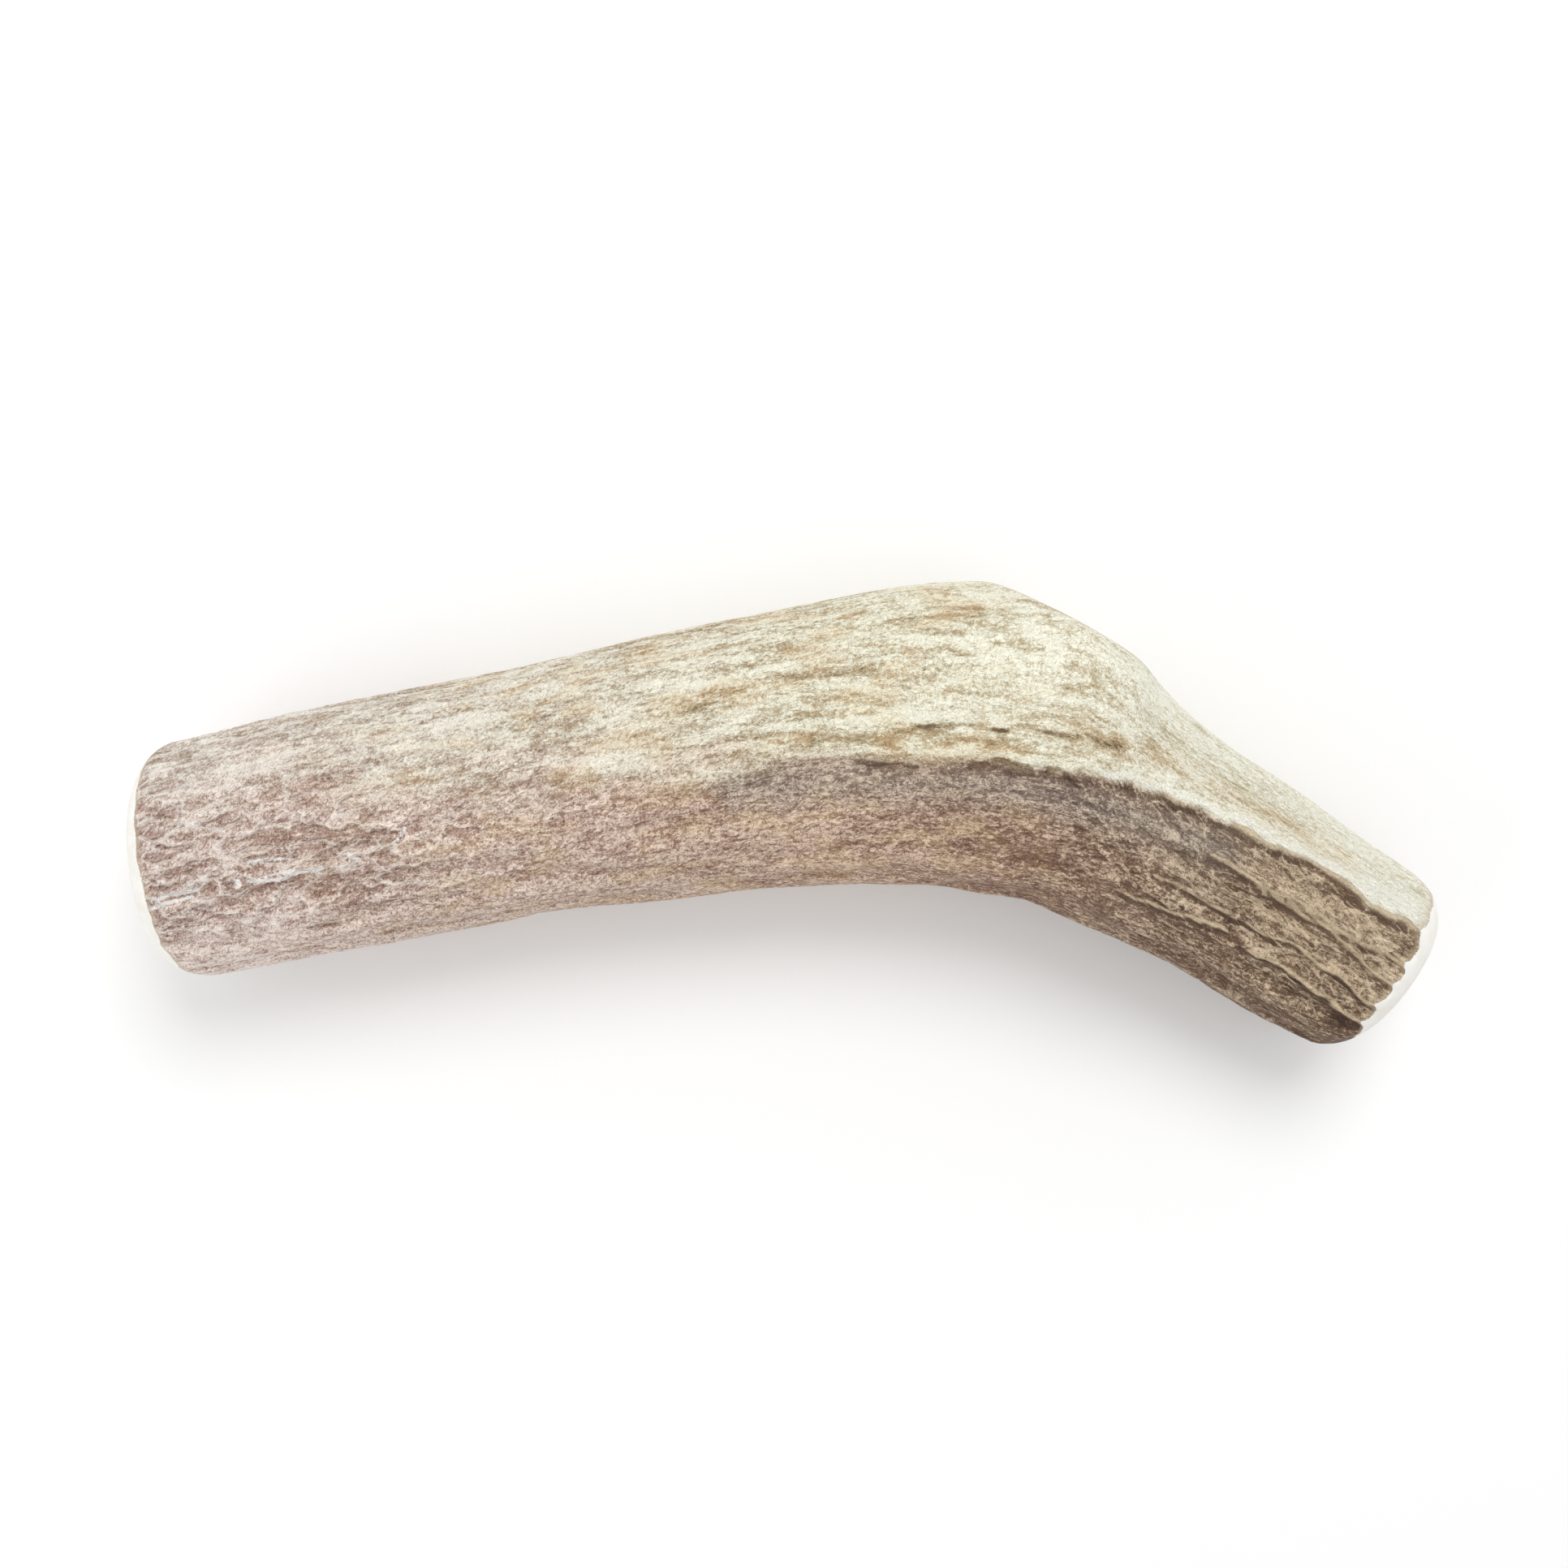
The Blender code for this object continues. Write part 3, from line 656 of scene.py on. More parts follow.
def straightened(lengths, angles):
    """Each corner's place if the beam were a straight round bar."""
    return np.dstack([
        np.repeat(lengths[:, None], len(angles), axis=1),
        NOMINAL_RADIUS * np.repeat(np.cos(angles)[None, :], len(lengths), axis=0),
        NOMINAL_RADIUS * np.repeat(np.sin(angles)[None, :], len(lengths), axis=0),
    ])


def distance_to_line(plan, line):
    """How far each plan point is from a line of points, and how far along the line it lies."""
    line = np.asarray(line, float)
    nearest = np.full(plan.shape[:-1], np.inf)
    along = np.zeros(plan.shape[:-1])
    before = 0
    for start, end in zip(line[:-1], line[1:]):
        step = end - start
        size = np.linalg.norm(step)
        share = np.clip((plan - start) @ step / size**2, 0, 1)
        distance = np.linalg.norm(plan - start - share[..., None] * step, axis=-1)
        closer = distance < nearest
        nearest = np.where(closer, distance, nearest)
        along = np.where(closer, before + share * size, along)
        before += size
    return nearest, along


def grain_places(points):
    """Each corner's place along its line down the antler, counted from the bend, and across the grain."""
    from_middle = points - points.mean(axis=1, keepdims=True)
    steps = np.linalg.norm(np.diff(points, axis=0), axis=-1) * along_x(GRAIN_SHORTENING, points[1:, :, 0])
    run = np.vstack([np.zeros((1, COLUMNS)), np.cumsum(steps, axis=0)])
    bend = np.abs(points[..., 0].mean(axis=1) - BEND_X).argmin()
    across = points[:, :1, :2] - points[:, COLUMNS // 2, None, :2]
    across = across / np.linalg.norm(across, axis=-1, keepdims=True)
    side = (from_middle[..., :2] * across).sum(axis=-1)

    line = np.array(GRAIN_LINE)
    distance, _ = distance_to_line(points[..., :2], line)
    from_line = distance * np.sign(points[..., 1] - np.interp(points[..., 0], line[:, 0], line[:, 1]))
    follows_line = smooth_step(points[..., 0], *GRAIN_LINE_START)
    follows_line = follows_line * (1 - smooth_step(side, *GRAIN_LINE_BORDER))
    return np.dstack([run - run[bend], mixed(side, from_line, follows_line), from_middle[..., 2]])


def noise_of(places):
    """Even noise between about -1 and 1 at each place."""
    values = [noise.noise(place) for place in places.reshape(-1, 3).tolist()]
    return np.array(values).reshape(places.shape[:-1])


def patch(points, kind, shift=0):
    """Noise in one kind of patch."""
    length, width, start = PATCHES[kind]
    return noise_of(points / np.array([length, width, width]) + start + shift)


def mix_of(points, name):
    """Noise in a mix of kinds of patch."""
    return sum(share * patch(points, kind) for kind, share in MIXES[name])


def line_share(value, width):
    """1 where a noise crosses 0, and less up to that width away."""
    return np.clip(1 - np.abs(value) / width, 0, 1)


def along_x(table, x):
    return np.interp(x, *np.array(table).T)


def band_share(plan, line, half_width):
    """1 on a line of plan points, and less up to a little more than its half width away."""
    distance, _ = distance_to_line(plan, line)
    return np.exp(-((distance / half_width) ** 2))


class Corners:
    """Every corner's places, in space, rolled out flat, along the grain and in plan, with its noises."""

    def __init__(self, lengths, angles, points, outward):
        self.points = points
        self.x = points[..., 0]
        self.upward = outward[..., 2]
        self.towards_near = -outward[..., 1]
        self.flat = straightened(lengths, angles)
        self.grain = grain_places(points)
        warp = WARP_DISTANCE * patch(self.flat, "warp")[..., None] * np.array([0, 1, 1])
        self.warped = self.flat + warp
        self.warped_grain = self.grain + warp
        self.ragged = patch(self.flat, "ragged")
        self.broken = patch(self.flat, "broken")
        wave = WAVY_DISTANCE * patch(self.flat, "wavy") + WAVE_RAGGEDNESS * self.ragged
        self.wave = wave[..., None] * np.array([WAVE_SLANT, 1])
        self.plan = points[..., :2] + self.wave
        self.past_border = past_border(self)
        self.worn = smooth_step(self.past_border, -1, 1)

    def on_top(self, values, underneath=0):
        """The values on the upper side, and another one underneath."""
        return np.where(self.upward > 0, values, underneath)

    def over_surface(self, distance):
        """A distance in plan as a distance over the sloping surface."""
        return distance / np.clip(self.upward, STEEP_SHARE, 1)

    def within_reach(self, distance):
        """A distance that counts on the upper side only, and only up to far away."""
        return self.on_top(np.minimum(distance, FAR_AWAY), FAR_AWAY)


def past_border(corners):
    """How far each corner lies on the worn side of the border: 1 is where the border's softness ends."""
    plan = corners.plan
    line = np.array(BORDER)
    distance, _ = distance_to_line(plan, line)
    side = np.sign(plan[..., 1] - np.interp(plan[..., 0], line[:, 0], line[:, 1]))
    below = np.clip(-corners.upward, 0, 1)
    softness = along_x(BORDER_SOFTNESS, plan[..., 0])
    return (side * distance - UNDERSIDE_BORDER_SHIFT * below) / softness + mix_of(corners.flat, "border")


def traced_relief(corners):
    """The height of the larger ridges and gutters, and how much of the other furrows they leave."""
    relief = np.zeros(corners.x.shape)
    others = np.ones(corners.x.shape)
    for height, half_width, line in TRACED_RIDGES:
        distance, along = distance_to_line(corners.plan, line)
        distance = corners.over_surface(distance)
        fade = smooth_step(along, 0, TRACED_FADE_LENGTH)
        power, wider = (CREST_POWER, CREST_WIDER) if height > 0 else (GUTTER_POWER, GUTTER_WIDER)
        relief += corners.on_top(height * fade * np.exp(-((distance / (half_width * wider)) ** power)))
        near_line = fade * np.exp(-((distance / TRACED_CLEARING) ** 2))
        others = np.minimum(others, corners.on_top(1 - near_line, 1))
    return relief, others


def marks(corners):
    """How dark and how deep the traced marks make each corner."""
    darkness = np.zeros(corners.x.shape)
    depth = np.zeros(corners.x.shape)
    unbroken = mixed(MARK_BROKEN_SHARE, 1, smooth_step(corners.broken, *MARK_BREAK_BORDER))
    for half_width, dark, deep, line in MARKS:
        width = np.maximum(half_width * (1 + MARK_RAGGEDNESS * corners.ragged), MARK_LEAST_WIDTH)
        share = corners.on_top(band_share(corners.plan, line, width)) * unbroken
        darkness += dark * share
        depth += deep * share
    return darkness, depth


def nearest_line(plan, lines):
    """How far each plan point is from the nearest of the lines."""
    return np.min([distance_to_line(plan, line)[0] for line in lines], axis=0)


def chalk_distance(corners):
    """How far each corner is from the nearest chalk scratch."""
    plan = corners.points[..., :2] + CHALK_WAVE * corners.wave
    return corners.within_reach(nearest_line(plan, CHALK_LINES))


def crest_distances(corners):
    """How far each corner is from the nearest crest line, and from the nearest line of painted shade."""
    crest = nearest_line(corners.plan, CREST_LINES)
    below_crest = nearest_line(corners.plan - np.array(PAINTED_SHADE_LINE_SHIFT), CREST_LINES)
    gap_to_shade_lines = nearest_line(corners.plan, PAINTED_SHADE_LINES) + PAINTED_SHADE_LINE_THINNER
    hidden = 1 - smooth_step(corners.broken, *CREST_BREAK_BORDER)
    distances = (crest, np.minimum(below_crest, gap_to_shade_lines))
    return [corners.within_reach(corners.over_surface(distance) + hidden) for distance in distances]


def rim_insets(lengths, angles):
    """How far the sanded rims draw each ring in, at both ends."""
    rims = (
        (THICK_RIM_RADII, THICK_RIM_WIDEST_ANGLE, lengths),
        (THIN_RIM_RADII, THIN_RIM_WIDEST_ANGLE, lengths[-1] - lengths),
    )
    insets = np.zeros((len(lengths), len(angles)))
    for (least, most), widest_angle, distance in rims:
        radius = least + (most - least) * (0.5 + 0.5 * np.cos(angles - widest_angle)) ** 2
        into_rim = np.clip(radius[None, :] - distance[:, None], 0, None)
        insets += radius - np.sqrt(np.maximum(radius**2 - into_rim**2, 0))
    return insets


def skin_depths(lengths, angles):
    """How far the brown skin goes down at both ends. Sanding missed it on one side of the thin one."""
    near_thick_end = lengths[:, None] < lengths[-1] / 2
    turn = (angles - UNSANDED_ANGLE + math.pi) % (2 * math.pi) - math.pi
    unsanded = UNSANDED_DEPTH * np.exp(-((turn / UNSANDED_SPREAD) ** 2))
    return np.where(near_thick_end, THICK_END_SKIN, THIN_END_SKIN + unsanded)


def stump_normal():
    return np.array([math.cos(STUMP_HEADING), math.sin(STUMP_HEADING), 0.0])


def past_stump(points):
    """How far each point lies past the stump's face."""
    return (points - np.array(STUMP_POINT)) @ stump_normal()


def stump_core(points, sawn):
    """How much of the spongy core shows on the stump's face."""
    from_middle = np.linalg.norm(points - np.array(STUMP_POINT), axis=-1)
    outside = smooth_step(from_middle, STUMP_CORE_SOLID_SHARE * STUMP_CORE_RADIUS, STUMP_CORE_RADIUS)
    return (1 - outside) * smooth_step(sawn, *STUMP_FACE_BORDER)


def saw_off_tine(points):
    """Everything past the stump's face is moved back onto it, with a rounded rim."""
    beyond = past_stump(points)
    kept = smooth_least(beyond, 0, STUMP_RIM_SOFTNESS)
    return points - (beyond - kept)[..., None] * stump_normal()


def crest_net(corners):
    """The noise whose zero lines are the net's crests, and how much of the net there is."""
    share = mixed(along_x(NET_STAINED, corners.x), along_x(NET_WORN, corners.x), corners.worn)
    share = share * smooth_step(patch(corners.flat, "net region"), *NET_REGION_BORDER)
    share = share * (1 - NET_LESS_ON_NEAR_SIDE * smooth_step(corners.towards_near, *NET_NEAR_SIDE_BORDER))
    return mix_of(corners.warped, "net"), share


def dark_strands(corners):
    """The noise whose zero lines are the fine dark strands, and how much of them there is."""
    share = mixed(along_x(STRANDS_STAINED, corners.x), along_x(STRANDS_WORN, corners.x), corners.worn)
    share = share * smooth_step(patch(corners.flat, "strand region"), *STRAND_REGION_BORDER)
    return mix_of(corners.warped_grain, "strand"), share


def below_ledge(height):
    """How steeply each corner's bark falls towards the near edge, for the painted shade below ledges."""
    fall = np.roll(height, 1, axis=1) - np.roll(height, -1, axis=1)
    return np.clip(fall / (2 * math.pi * NOMINAL_RADIUS / COLUMNS), 0, STEEPEST_LEDGE)


def ochre_share(corners):
    """How much ochre there is in the skin: in patches along the beam, and in a band down the thin arm."""
    patches = smooth_step(mix_of(corners.flat, "ochre"), *OCHRE_BORDER)
    patches = patches * (1 - smooth_step(corners.x, *OCHRE_END)) * smooth_step(corners.x, *OCHRE_START)
    band = corners.on_top(band_share(corners.plan, OCHRE_BAND, OCHRE_HALF_WIDTH))
    even, uneven = OCHRE_EVENNESS
    return np.maximum(patches, band * (even + uneven * corners.broken))


def skin_darkness(corners, hollow_and_ledge_shade, ridge, mark_dark):
    """How dark the stained skin and the worn skin would be at each corner, from about 0 to about 1."""
    x = corners.x
    blotch = mix_of(corners.grain, "blotch") + CLOUD_SHARE * patch(corners.flat, "cloud")
    streak = mix_of(corners.warped_grain, "streak")
    near_side = smooth_step(corners.towards_near, *NEAR_SIDE_BORDER)
    off_middle = smooth_step(np.abs(x - STAINED_MIDDLE), *STAINED_MIDDLE_BORDER)
    even, uneven = CALM_EVENNESS
    calm = CALM_SHARE * band_share(corners.points[..., :2], CALM_BAND, CALM_HALF_WIDTH)
    calm = calm * (even + uneven * patch(corners.flat, "calm"))
    stained = along_x(STAINED_DARKNESS, x) + along_x(NEAR_SIDE_DARKNESS, x) * near_side
    stained_share = mixed(STAINED_MIDDLE_SHARE, 1, off_middle)
    worn_share = mixed(1, WORN_ARM_SHARE, smooth_step(x, *WORN_ARM_BORDER))
    sides = (
        (stained, stained_share, STAINED_ADDED),
        (along_x(WORN_DARKNESS, x), worn_share, WORN_ADDED),
    )
    results = []
    for darkness, patch_share, (blotches, streaks, hollows, ridges) in sides:
        patches = patch_share * (blotches * blotch + streaks * streak)
        darkness = darkness + patches + hollows * hollow_and_ledge_shade + ridges * ridge + mark_dark
        results.append(mixed(darkness, CALM_DARKNESS, calm))
    return results


def skin_colours(corners):
    """The skin's pale and dark tone at each corner, for the worn side and the stained side."""
    x = corners.points[..., :1]
    to_thick = smooth_step(-x, *TO_THICK_END_BORDER)
    to_thin = smooth_step(x, *TO_THIN_END_BORDER)
    grey = corners.on_top(band_share(corners.points[..., :2], GREY_BAND, GREY_HALF_WIDTH))
    pulls = {"ochre": ochre_share(corners), "grey": grey}
    tones = {}
    for name, (middle, thick, thin) in SKIN_TONES.items():
        tones[name] = mixed(mixed(linear(middle), linear(thick), to_thick), linear(thin), to_thin)
    for name, pull, colour, most in TONE_PULLS:
        tones[name] = mixed(tones[name], linear(colour), most * pulls[pull][..., None])
    return tones


def bark(lengths, angles, corners):
    """The bark's height over the smooth form, its broad shape, and what the material needs to know of it."""
    lumps = LUMP_HEIGHT * noise_of(corners.points / LUMP_SIZE)
    grain = GRAIN_HEIGHT * noise_of(corners.flat / np.array([GRAIN_LENGTH, GRAIN_WIDTH, GRAIN_WIDTH]))
    furrow = furrow_depths(lengths, angles) * furrows(lengths, angles)
    traced, others = traced_relief(corners)
    mark_dark, mark_deep = marks(corners)
    net, net_share = crest_net(corners)
    strand, strand_share = dark_strands(corners)
    pit = net_share * smooth_step(np.abs(net), *NET_PIT_BORDER)

    height = traced * (1 + RIDGE_RAGGEDNESS * corners.ragged)
    height += others * (grain - furrow * (1 + FURROW_RAGGEDNESS * corners.ragged))
    height += NET_LINE_HEIGHT * net_share * line_share(net, NET_LINE_WIDTH) - NET_PIT_DEPTH * pit
    height -= STRAND_DEPTH * strand_share * line_share(strand, STRAND_LINE_WIDTH)
    height += GRANULE_HEIGHT * patch(corners.flat, "granules") - mark_deep

    pit_darkness = mixed(*PIT_DARKNESS, smooth_step(-corners.x, *PIT_DARKNESS_BORDER))
    # Below ledges the skin gets painted shade, where the bark falls away from the key light.
    hollow_and_ledge_shade = FURROW_DARKNESS * others * furrow + pit_darkness * pit + LEDGE_PAINTED_SHADE * below_ledge(height)
    ridge = np.clip(traced, 0, None) * smooth_step(corners.broken, *RIDGE_BREAK_BORDER)
    fields = skin_colours(corners)
    fields["stained_darkness"], fields["worn_darkness"] = skin_darkness(corners, hollow_and_ledge_shade, ridge, mark_dark)
    fields["crest_gap"], fields["painted_shade_gap"] = crest_distances(corners)
    fields["chalk_gap"] = chalk_distance(corners)
    fields["net"], fields["net_share"] = net, net_share
    fields["strand"], fields["strand_share"] = strand, strand_share
    fields["past_border"] = corners.past_border
    fields["grain_place"] = corners.grain
    return lumps + height, lumps + traced - others * furrow, fields


def antler_skin():
    """Every ring's points, and for each point what the material needs to know."""
    places, lengths = ring_places()
    angles = np.linspace(0, 2 * math.pi, COLUMNS, endpoint=False)
    points, outward = smooth_sections(places, angles)
    height, broad, fields = bark(lengths, angles, Corners(lengths, angles, points, outward))
    clear_of_stump = smooth_step(-past_stump(points), 0, STUMP_SMOOTH_BORDER)
    height = height * clear_of_stump
    fields["net_share"] = fields["net_share"] * clear_of_stump

    insets = rim_insets(lengths, angles)
    offset = np.where(insets > 0, smooth_least(height, -insets, SANDED_EDGE_SOFTNESS), height)
    offset[0] = -insets[0]
    offset[-1] = -insets[-1]
    rings = points + offset[..., None] * outward
    sawn = past_stump(rings)
    rings = saw_off_tine(rings)
    sanded = insets + SANDED_RELIEF * broad * smooth_step(insets, 0, SANDING_ONSET)
    fields["removed"] = np.maximum(sanded - skin_depths(lengths, angles), sawn - STUMP_SKIN)
    fields["core"] = stump_core(rings, sawn)
    return rings, fields


def tube_faces(ring_count):
    """The faces between each ring and the next."""
    faces = []
    for here in range(0, (ring_count - 1) * COLUMNS, COLUMNS):
        for number in range(COLUMNS):
            after = (number + 1) % COLUMNS
            faces.append((here + number, here + after, here + COLUMNS + after, here + COLUMNS + number))
    return faces


def stitched(outer, inner, outward_first):
    """Faces between two rings, where the inner one has as many corners as the outer one or half as many."""
    faces = []
    for number in range(len(inner)):
        following = (number + 1) % len(inner)
        if len(inner) == len(outer):
            faces.append((outer[number], outer[following], inner[following], inner[number]))
        else:
            here, half_way = outer[2 * number], outer[2 * number + 1]
            after = outer[(2 * number + 2) % len(outer)]
            faces.append((here, half_way, inner[number]))
            faces.append((half_way, inner[following], inner[number]))
            faces.append((half_way, after, inner[following]))
    return faces if outward_first else [face[::-1] for face in faces]


def add_sawn_face(rings, ring, corners, values):
    """Adds the corners and values of the flat face inside one end's rim, and returns its faces."""
    outward_first = ring > 0
    rim = rings[ring]
    middle = rim.mean(axis=0)
    inside = rings[len(rings) // 2].mean(axis=0) - middle
    normal = np.linalg.svd(rim - middle)[2][-1]
    normal = normal * np.sign(normal @ inside)
    total = sum(len(part) for part in corners)
    outer = list(range(ring * COLUMNS, (ring + 1) * COLUMNS))
    faces = []
    for share, size in FACE_RINGS:
        step = COLUMNS // size
        points = middle + (rim[::step] - middle) * share
        wobbly_share = share + CORE_WOBBLE * patch(points, "core wobble")
        core = 1 - smooth_step(wobbly_share, CORE_RADIUS_SHARE - CORE_SOFTNESS, CORE_RADIUS_SHARE)
        pit = core * smooth_step(patch(points, "core pit", ring), *CORE_PIT_BORDER)
        points = points + normal * (CORE_PIT_DEPTH * pit)[:, None]
        corners.append(points)
        for parts in values.values():
            parts.append(parts[0][ring * COLUMNS:(ring + 1) * COLUMNS:step])
        values["core"][-1] = core[:, None]
        values["removed"][-1] = np.full((size, 1), FACE_REMOVED)
        values["grain_place"][-1] = points
        inner = list(range(total, total + size))
        total += size
        faces.extend(stitched(outer, inner, outward_first))
        outer = inner
    corners.append(middle[None, :] + normal * CORE_PIT_DEPTH / 2)
    for parts in values.values():
        parts.append(parts[-1].mean(axis=0, keepdims=True))
    for number in range(len(outer)):
        face = (outer[number], outer[(number + 1) % len(outer)], total)
        faces.append(face if outward_first else face[::-1])
    return faces


def antler_object():
    """The antler's skin and its two sawn faces as one closed mesh, with its fields and its flat layout."""
    rings, fields = antler_skin()
    low, high = rings.min(axis=(0, 1)), rings.max(axis=(0, 1))
    rings = rings - np.array([(low[0] + high[0]) / 2, (low[1] + high[1]) / 2, low[2]])
    corners = [rings.reshape(-1, 3)]
    values = {name: [field.reshape(len(corners[0]), -1)] for name, field in fields.items()}
    faces = tube_faces(len(rings))
    for ring in (0, len(rings) - 1):
        faces.extend(add_sawn_face(rings, ring, corners, values))

    mesh = bpy.data.meshes.new("antler_skin")
    mesh.from_pydata((np.vstack(corners) * MM).tolist(), [], faces)
    mesh.validate()
    mesh.update()
    mesh.shade_smooth()
    for name, parts in values.items():
        add_field(mesh, name, np.vstack(parts))
    add_flat_layout(mesh, len(rings))
    antler = bpy.data.objects.new("antler_skin", mesh)
    bpy.context.scene.collection.objects.link(antler)
    return antler


def add_field(mesh, name, values):
    """A value, place or colour at each corner, for the material."""
    kind, part = "FLOAT_VECTOR", "vector"
    if values.shape[1] == 1:
        kind, part = "FLOAT", "value"
    elif name in SKIN_TONES:
        kind, part = "FLOAT_COLOR", "color"
        values = np.hstack([values, np.ones((len(values), 1))])
    mesh.attributes.new(name, kind, "POINT").data.foreach_set(part, values.ravel().astype(np.float32))


def read_out(items, name, kind, width=1):
    """One property of every item in a mesh's list."""
    values = np.zeros(len(items) * width, kind)
    items.foreach_get(name, values)
    return values.reshape(-1, width) if width > 1 else values


def add_flat_layout(mesh, ring_count):
    """The skin rolled out flat with its seam underneath, and the two sawn faces beside it."""
    length, height = SKIN_LAYOUT
    places = read_out(mesh.vertices, "co", np.float64, 3)
    corner_of = read_out(mesh.loops, "vertex_index", np.int32)
    ring = corner_of // COLUMNS
    column = (corner_of % COLUMNS - SEAM_COLUMN) % COLUMNS
    u = LAYOUT_MARGIN + length * ring / (ring_count - 1)
    v = LAYOUT_MARGIN + height * column / COLUMNS
    starts = read_out(mesh.polygons, "loop_start", np.int32)
    sizes = read_out(mesh.polygons, "loop_total", np.int32)
    for start, size in zip(starts.tolist(), sizes.tolist()):
        own = slice(start, start + size)
        if (ring[own] < ring_count).all():
            if column[own].max() - column[own].min() > COLUMNS // 2:
                v[own] = np.where(column[own] < COLUMNS // 2, v[own] + height, v[own])
        else:
            points = places[corner_of[own]] / MM
            middle, across, place = FACE_LAYOUT["thick" if points[:, 0].mean() < 0 else "thin"]
            sideways = (points[:, :2] - np.array(middle)) @ np.array(across)
            u[own] = place + sideways * FACE_LAYOUT_SCALE
            v[own] = FACE_LAYOUT_PLACE + (points[:, 2] - FACE_MIDDLE_HEIGHT) * FACE_LAYOUT_SCALE
    layout = mesh.uv_layers.new(name="OFBake")
    layout.data.foreach_set("uv", np.stack([u, v], axis=1).ravel().astype(np.float32))


class Nodes:
    """Short ways to add and join a material's nodes."""

    def __init__(self, name):
        self.material = bpy.data.materials.new(name)
        self.material.use_nodes = True
        self.tree = self.material.node_tree
        self.shader = self.tree.nodes["Principled BSDF"]

    def add(self, kind, settings=None, **inputs):
        node = self.tree.nodes.new(kind)
        for name, value in (settings or {}).items():
            setattr(node, name, value)
        for name, value in inputs.items():
            self.feed(node.inputs[name.replace("_", " ")], value)
        return node

    def feed(self, socket, value):
        if isinstance(value, bpy.types.NodeSocket):
            self.tree.links.new(value, socket)
        else:
            socket.default_value = value

    def field(self, name, output="Fac"):
        return self.add("ShaderNodeAttribute", {"attribute_name": name}).outputs[output]

    def math(self, operation, *values):
        node = self.add("ShaderNodeMath", {"operation": operation})
        for socket, value in zip(node.inputs, values):
            self.feed(socket, value)
        return node.outputs[0]

    def plus(self, first, second):
        return self.math("ADD", first, second)

    def less(self, first, second):
        return self.math("SUBTRACT", first, second)

    def times(self, first, second):
        return self.math("MULTIPLY", first, second)

    def step(self, value, low, high, bottom=0.0, top=1.0):
        node = self.add("ShaderNodeMapRange", {"interpolation_type": "SMOOTHSTEP"})
        for name, given in (
            ("Value", value), ("From Min", low), ("From Max", high), ("To Min", bottom), ("To Max", top)
        ):
            self.feed(node.inputs[name], given)
        return node.outputs[0]

    def mix(self, share, first, second, blend="MIX"):
        node = self.add("ShaderNodeMix", {"data_type": "RGBA", "blend_type": blend})
        for number, value in ((0, share), (6, first), (7, second)):
            self.feed(node.inputs[number], value)
        return node.outputs[2]

    def blend(self, share, first, second):
        node = self.add("ShaderNodeMix", {"data_type": "FLOAT"})
        for number, value in ((0, share), (2, first), (3, second)):
            self.feed(node.inputs[number], value)
        return node.outputs[0]

    def line(self, value, width, middle=0.0):
        """1 where a value crosses its middle, and less up to that width away."""
        away = self.math("ABSOLUTE", self.less(value, middle))
        return self.step(away, 0.0, width, 1.0, 0.0)

    def total(self, start, parts, weights):
        """The start, and each of the weighted parts added to it."""
        for name, weight in weights.items():
            start = self.plus(start, self.times(parts[name], weight))
        return start

    def stretched(self, place, amounts):
        node = self.add("ShaderNodeVectorMath", {"operation": "MULTIPLY"})
        self.feed(node.inputs[0], place)
        self.feed(node.inputs[1], amounts)
        return node.outputs[0]

    def noise(self, place, scale, detail=2.0, roughness=0.5, distortion=0.0):
        node = self.add("ShaderNodeTexNoise", Vector=place, Scale=scale, Detail=detail, Roughness=roughness)
        node.inputs["Distortion"].default_value = distortion
        return node.outputs[0]

    def pores(self, place, scale):
        node = self.add("ShaderNodeTexVoronoi", {"feature": "F1"}, Vector=place, Scale=scale)
        return node.outputs["Distance"]


def solid(colour):
    return (*linear(colour).tolist(), 1.0)


def fine_noises(n, place):
    """The material's fine noises, each between about -0.5 and 0.5."""
    noises = {}
    for name, (stretch, scale, detail, roughness, distortion) in FINE_NOISES.items():
        value = n.noise(n.stretched(place, (stretch, 1.0, 1.0)), scale, detail, roughness, distortion)
        noises[name] = n.less(value, 0.5)
    return noises


def bark_lines(n, curls, ragged):
    """The fine lines of the bark, each one's share: 1 on the line."""
    net = n.plus(n.field("net"), ragged)
    net_share = n.field("net_share")
    crest_gap = n.plus(n.field("crest_gap"), ragged)
    painted_shade_gap = n.less(n.field("painted_shade_gap"), ragged)
    return {
        "curl_line": n.line(curls, CURL_WIDTH),
        "net_line": n.times(n.line(net, NET_WIDTH), net_share),
        # A dark edge of painted shade beside each net crest.
        "net_shade_edge": n.times(n.line(net, NET_SHADE_EDGE_WIDTH, NET_SHADE_EDGE_PLACE), net_share),
        "strand_line": n.times(n.line(n.field("strand"), STRAND_WIDTH), n.field("strand_share")),
        "crest_line": n.step(crest_gap, *CREST_LINE_WIDTHS, 1.0, 0.0),
        # A line of painted shade just below each crest.
        "painted_shade_line": n.step(painted_shade_gap, *PAINTED_SHADE_LINE_WIDTHS, 1.0, 0.0),
    }


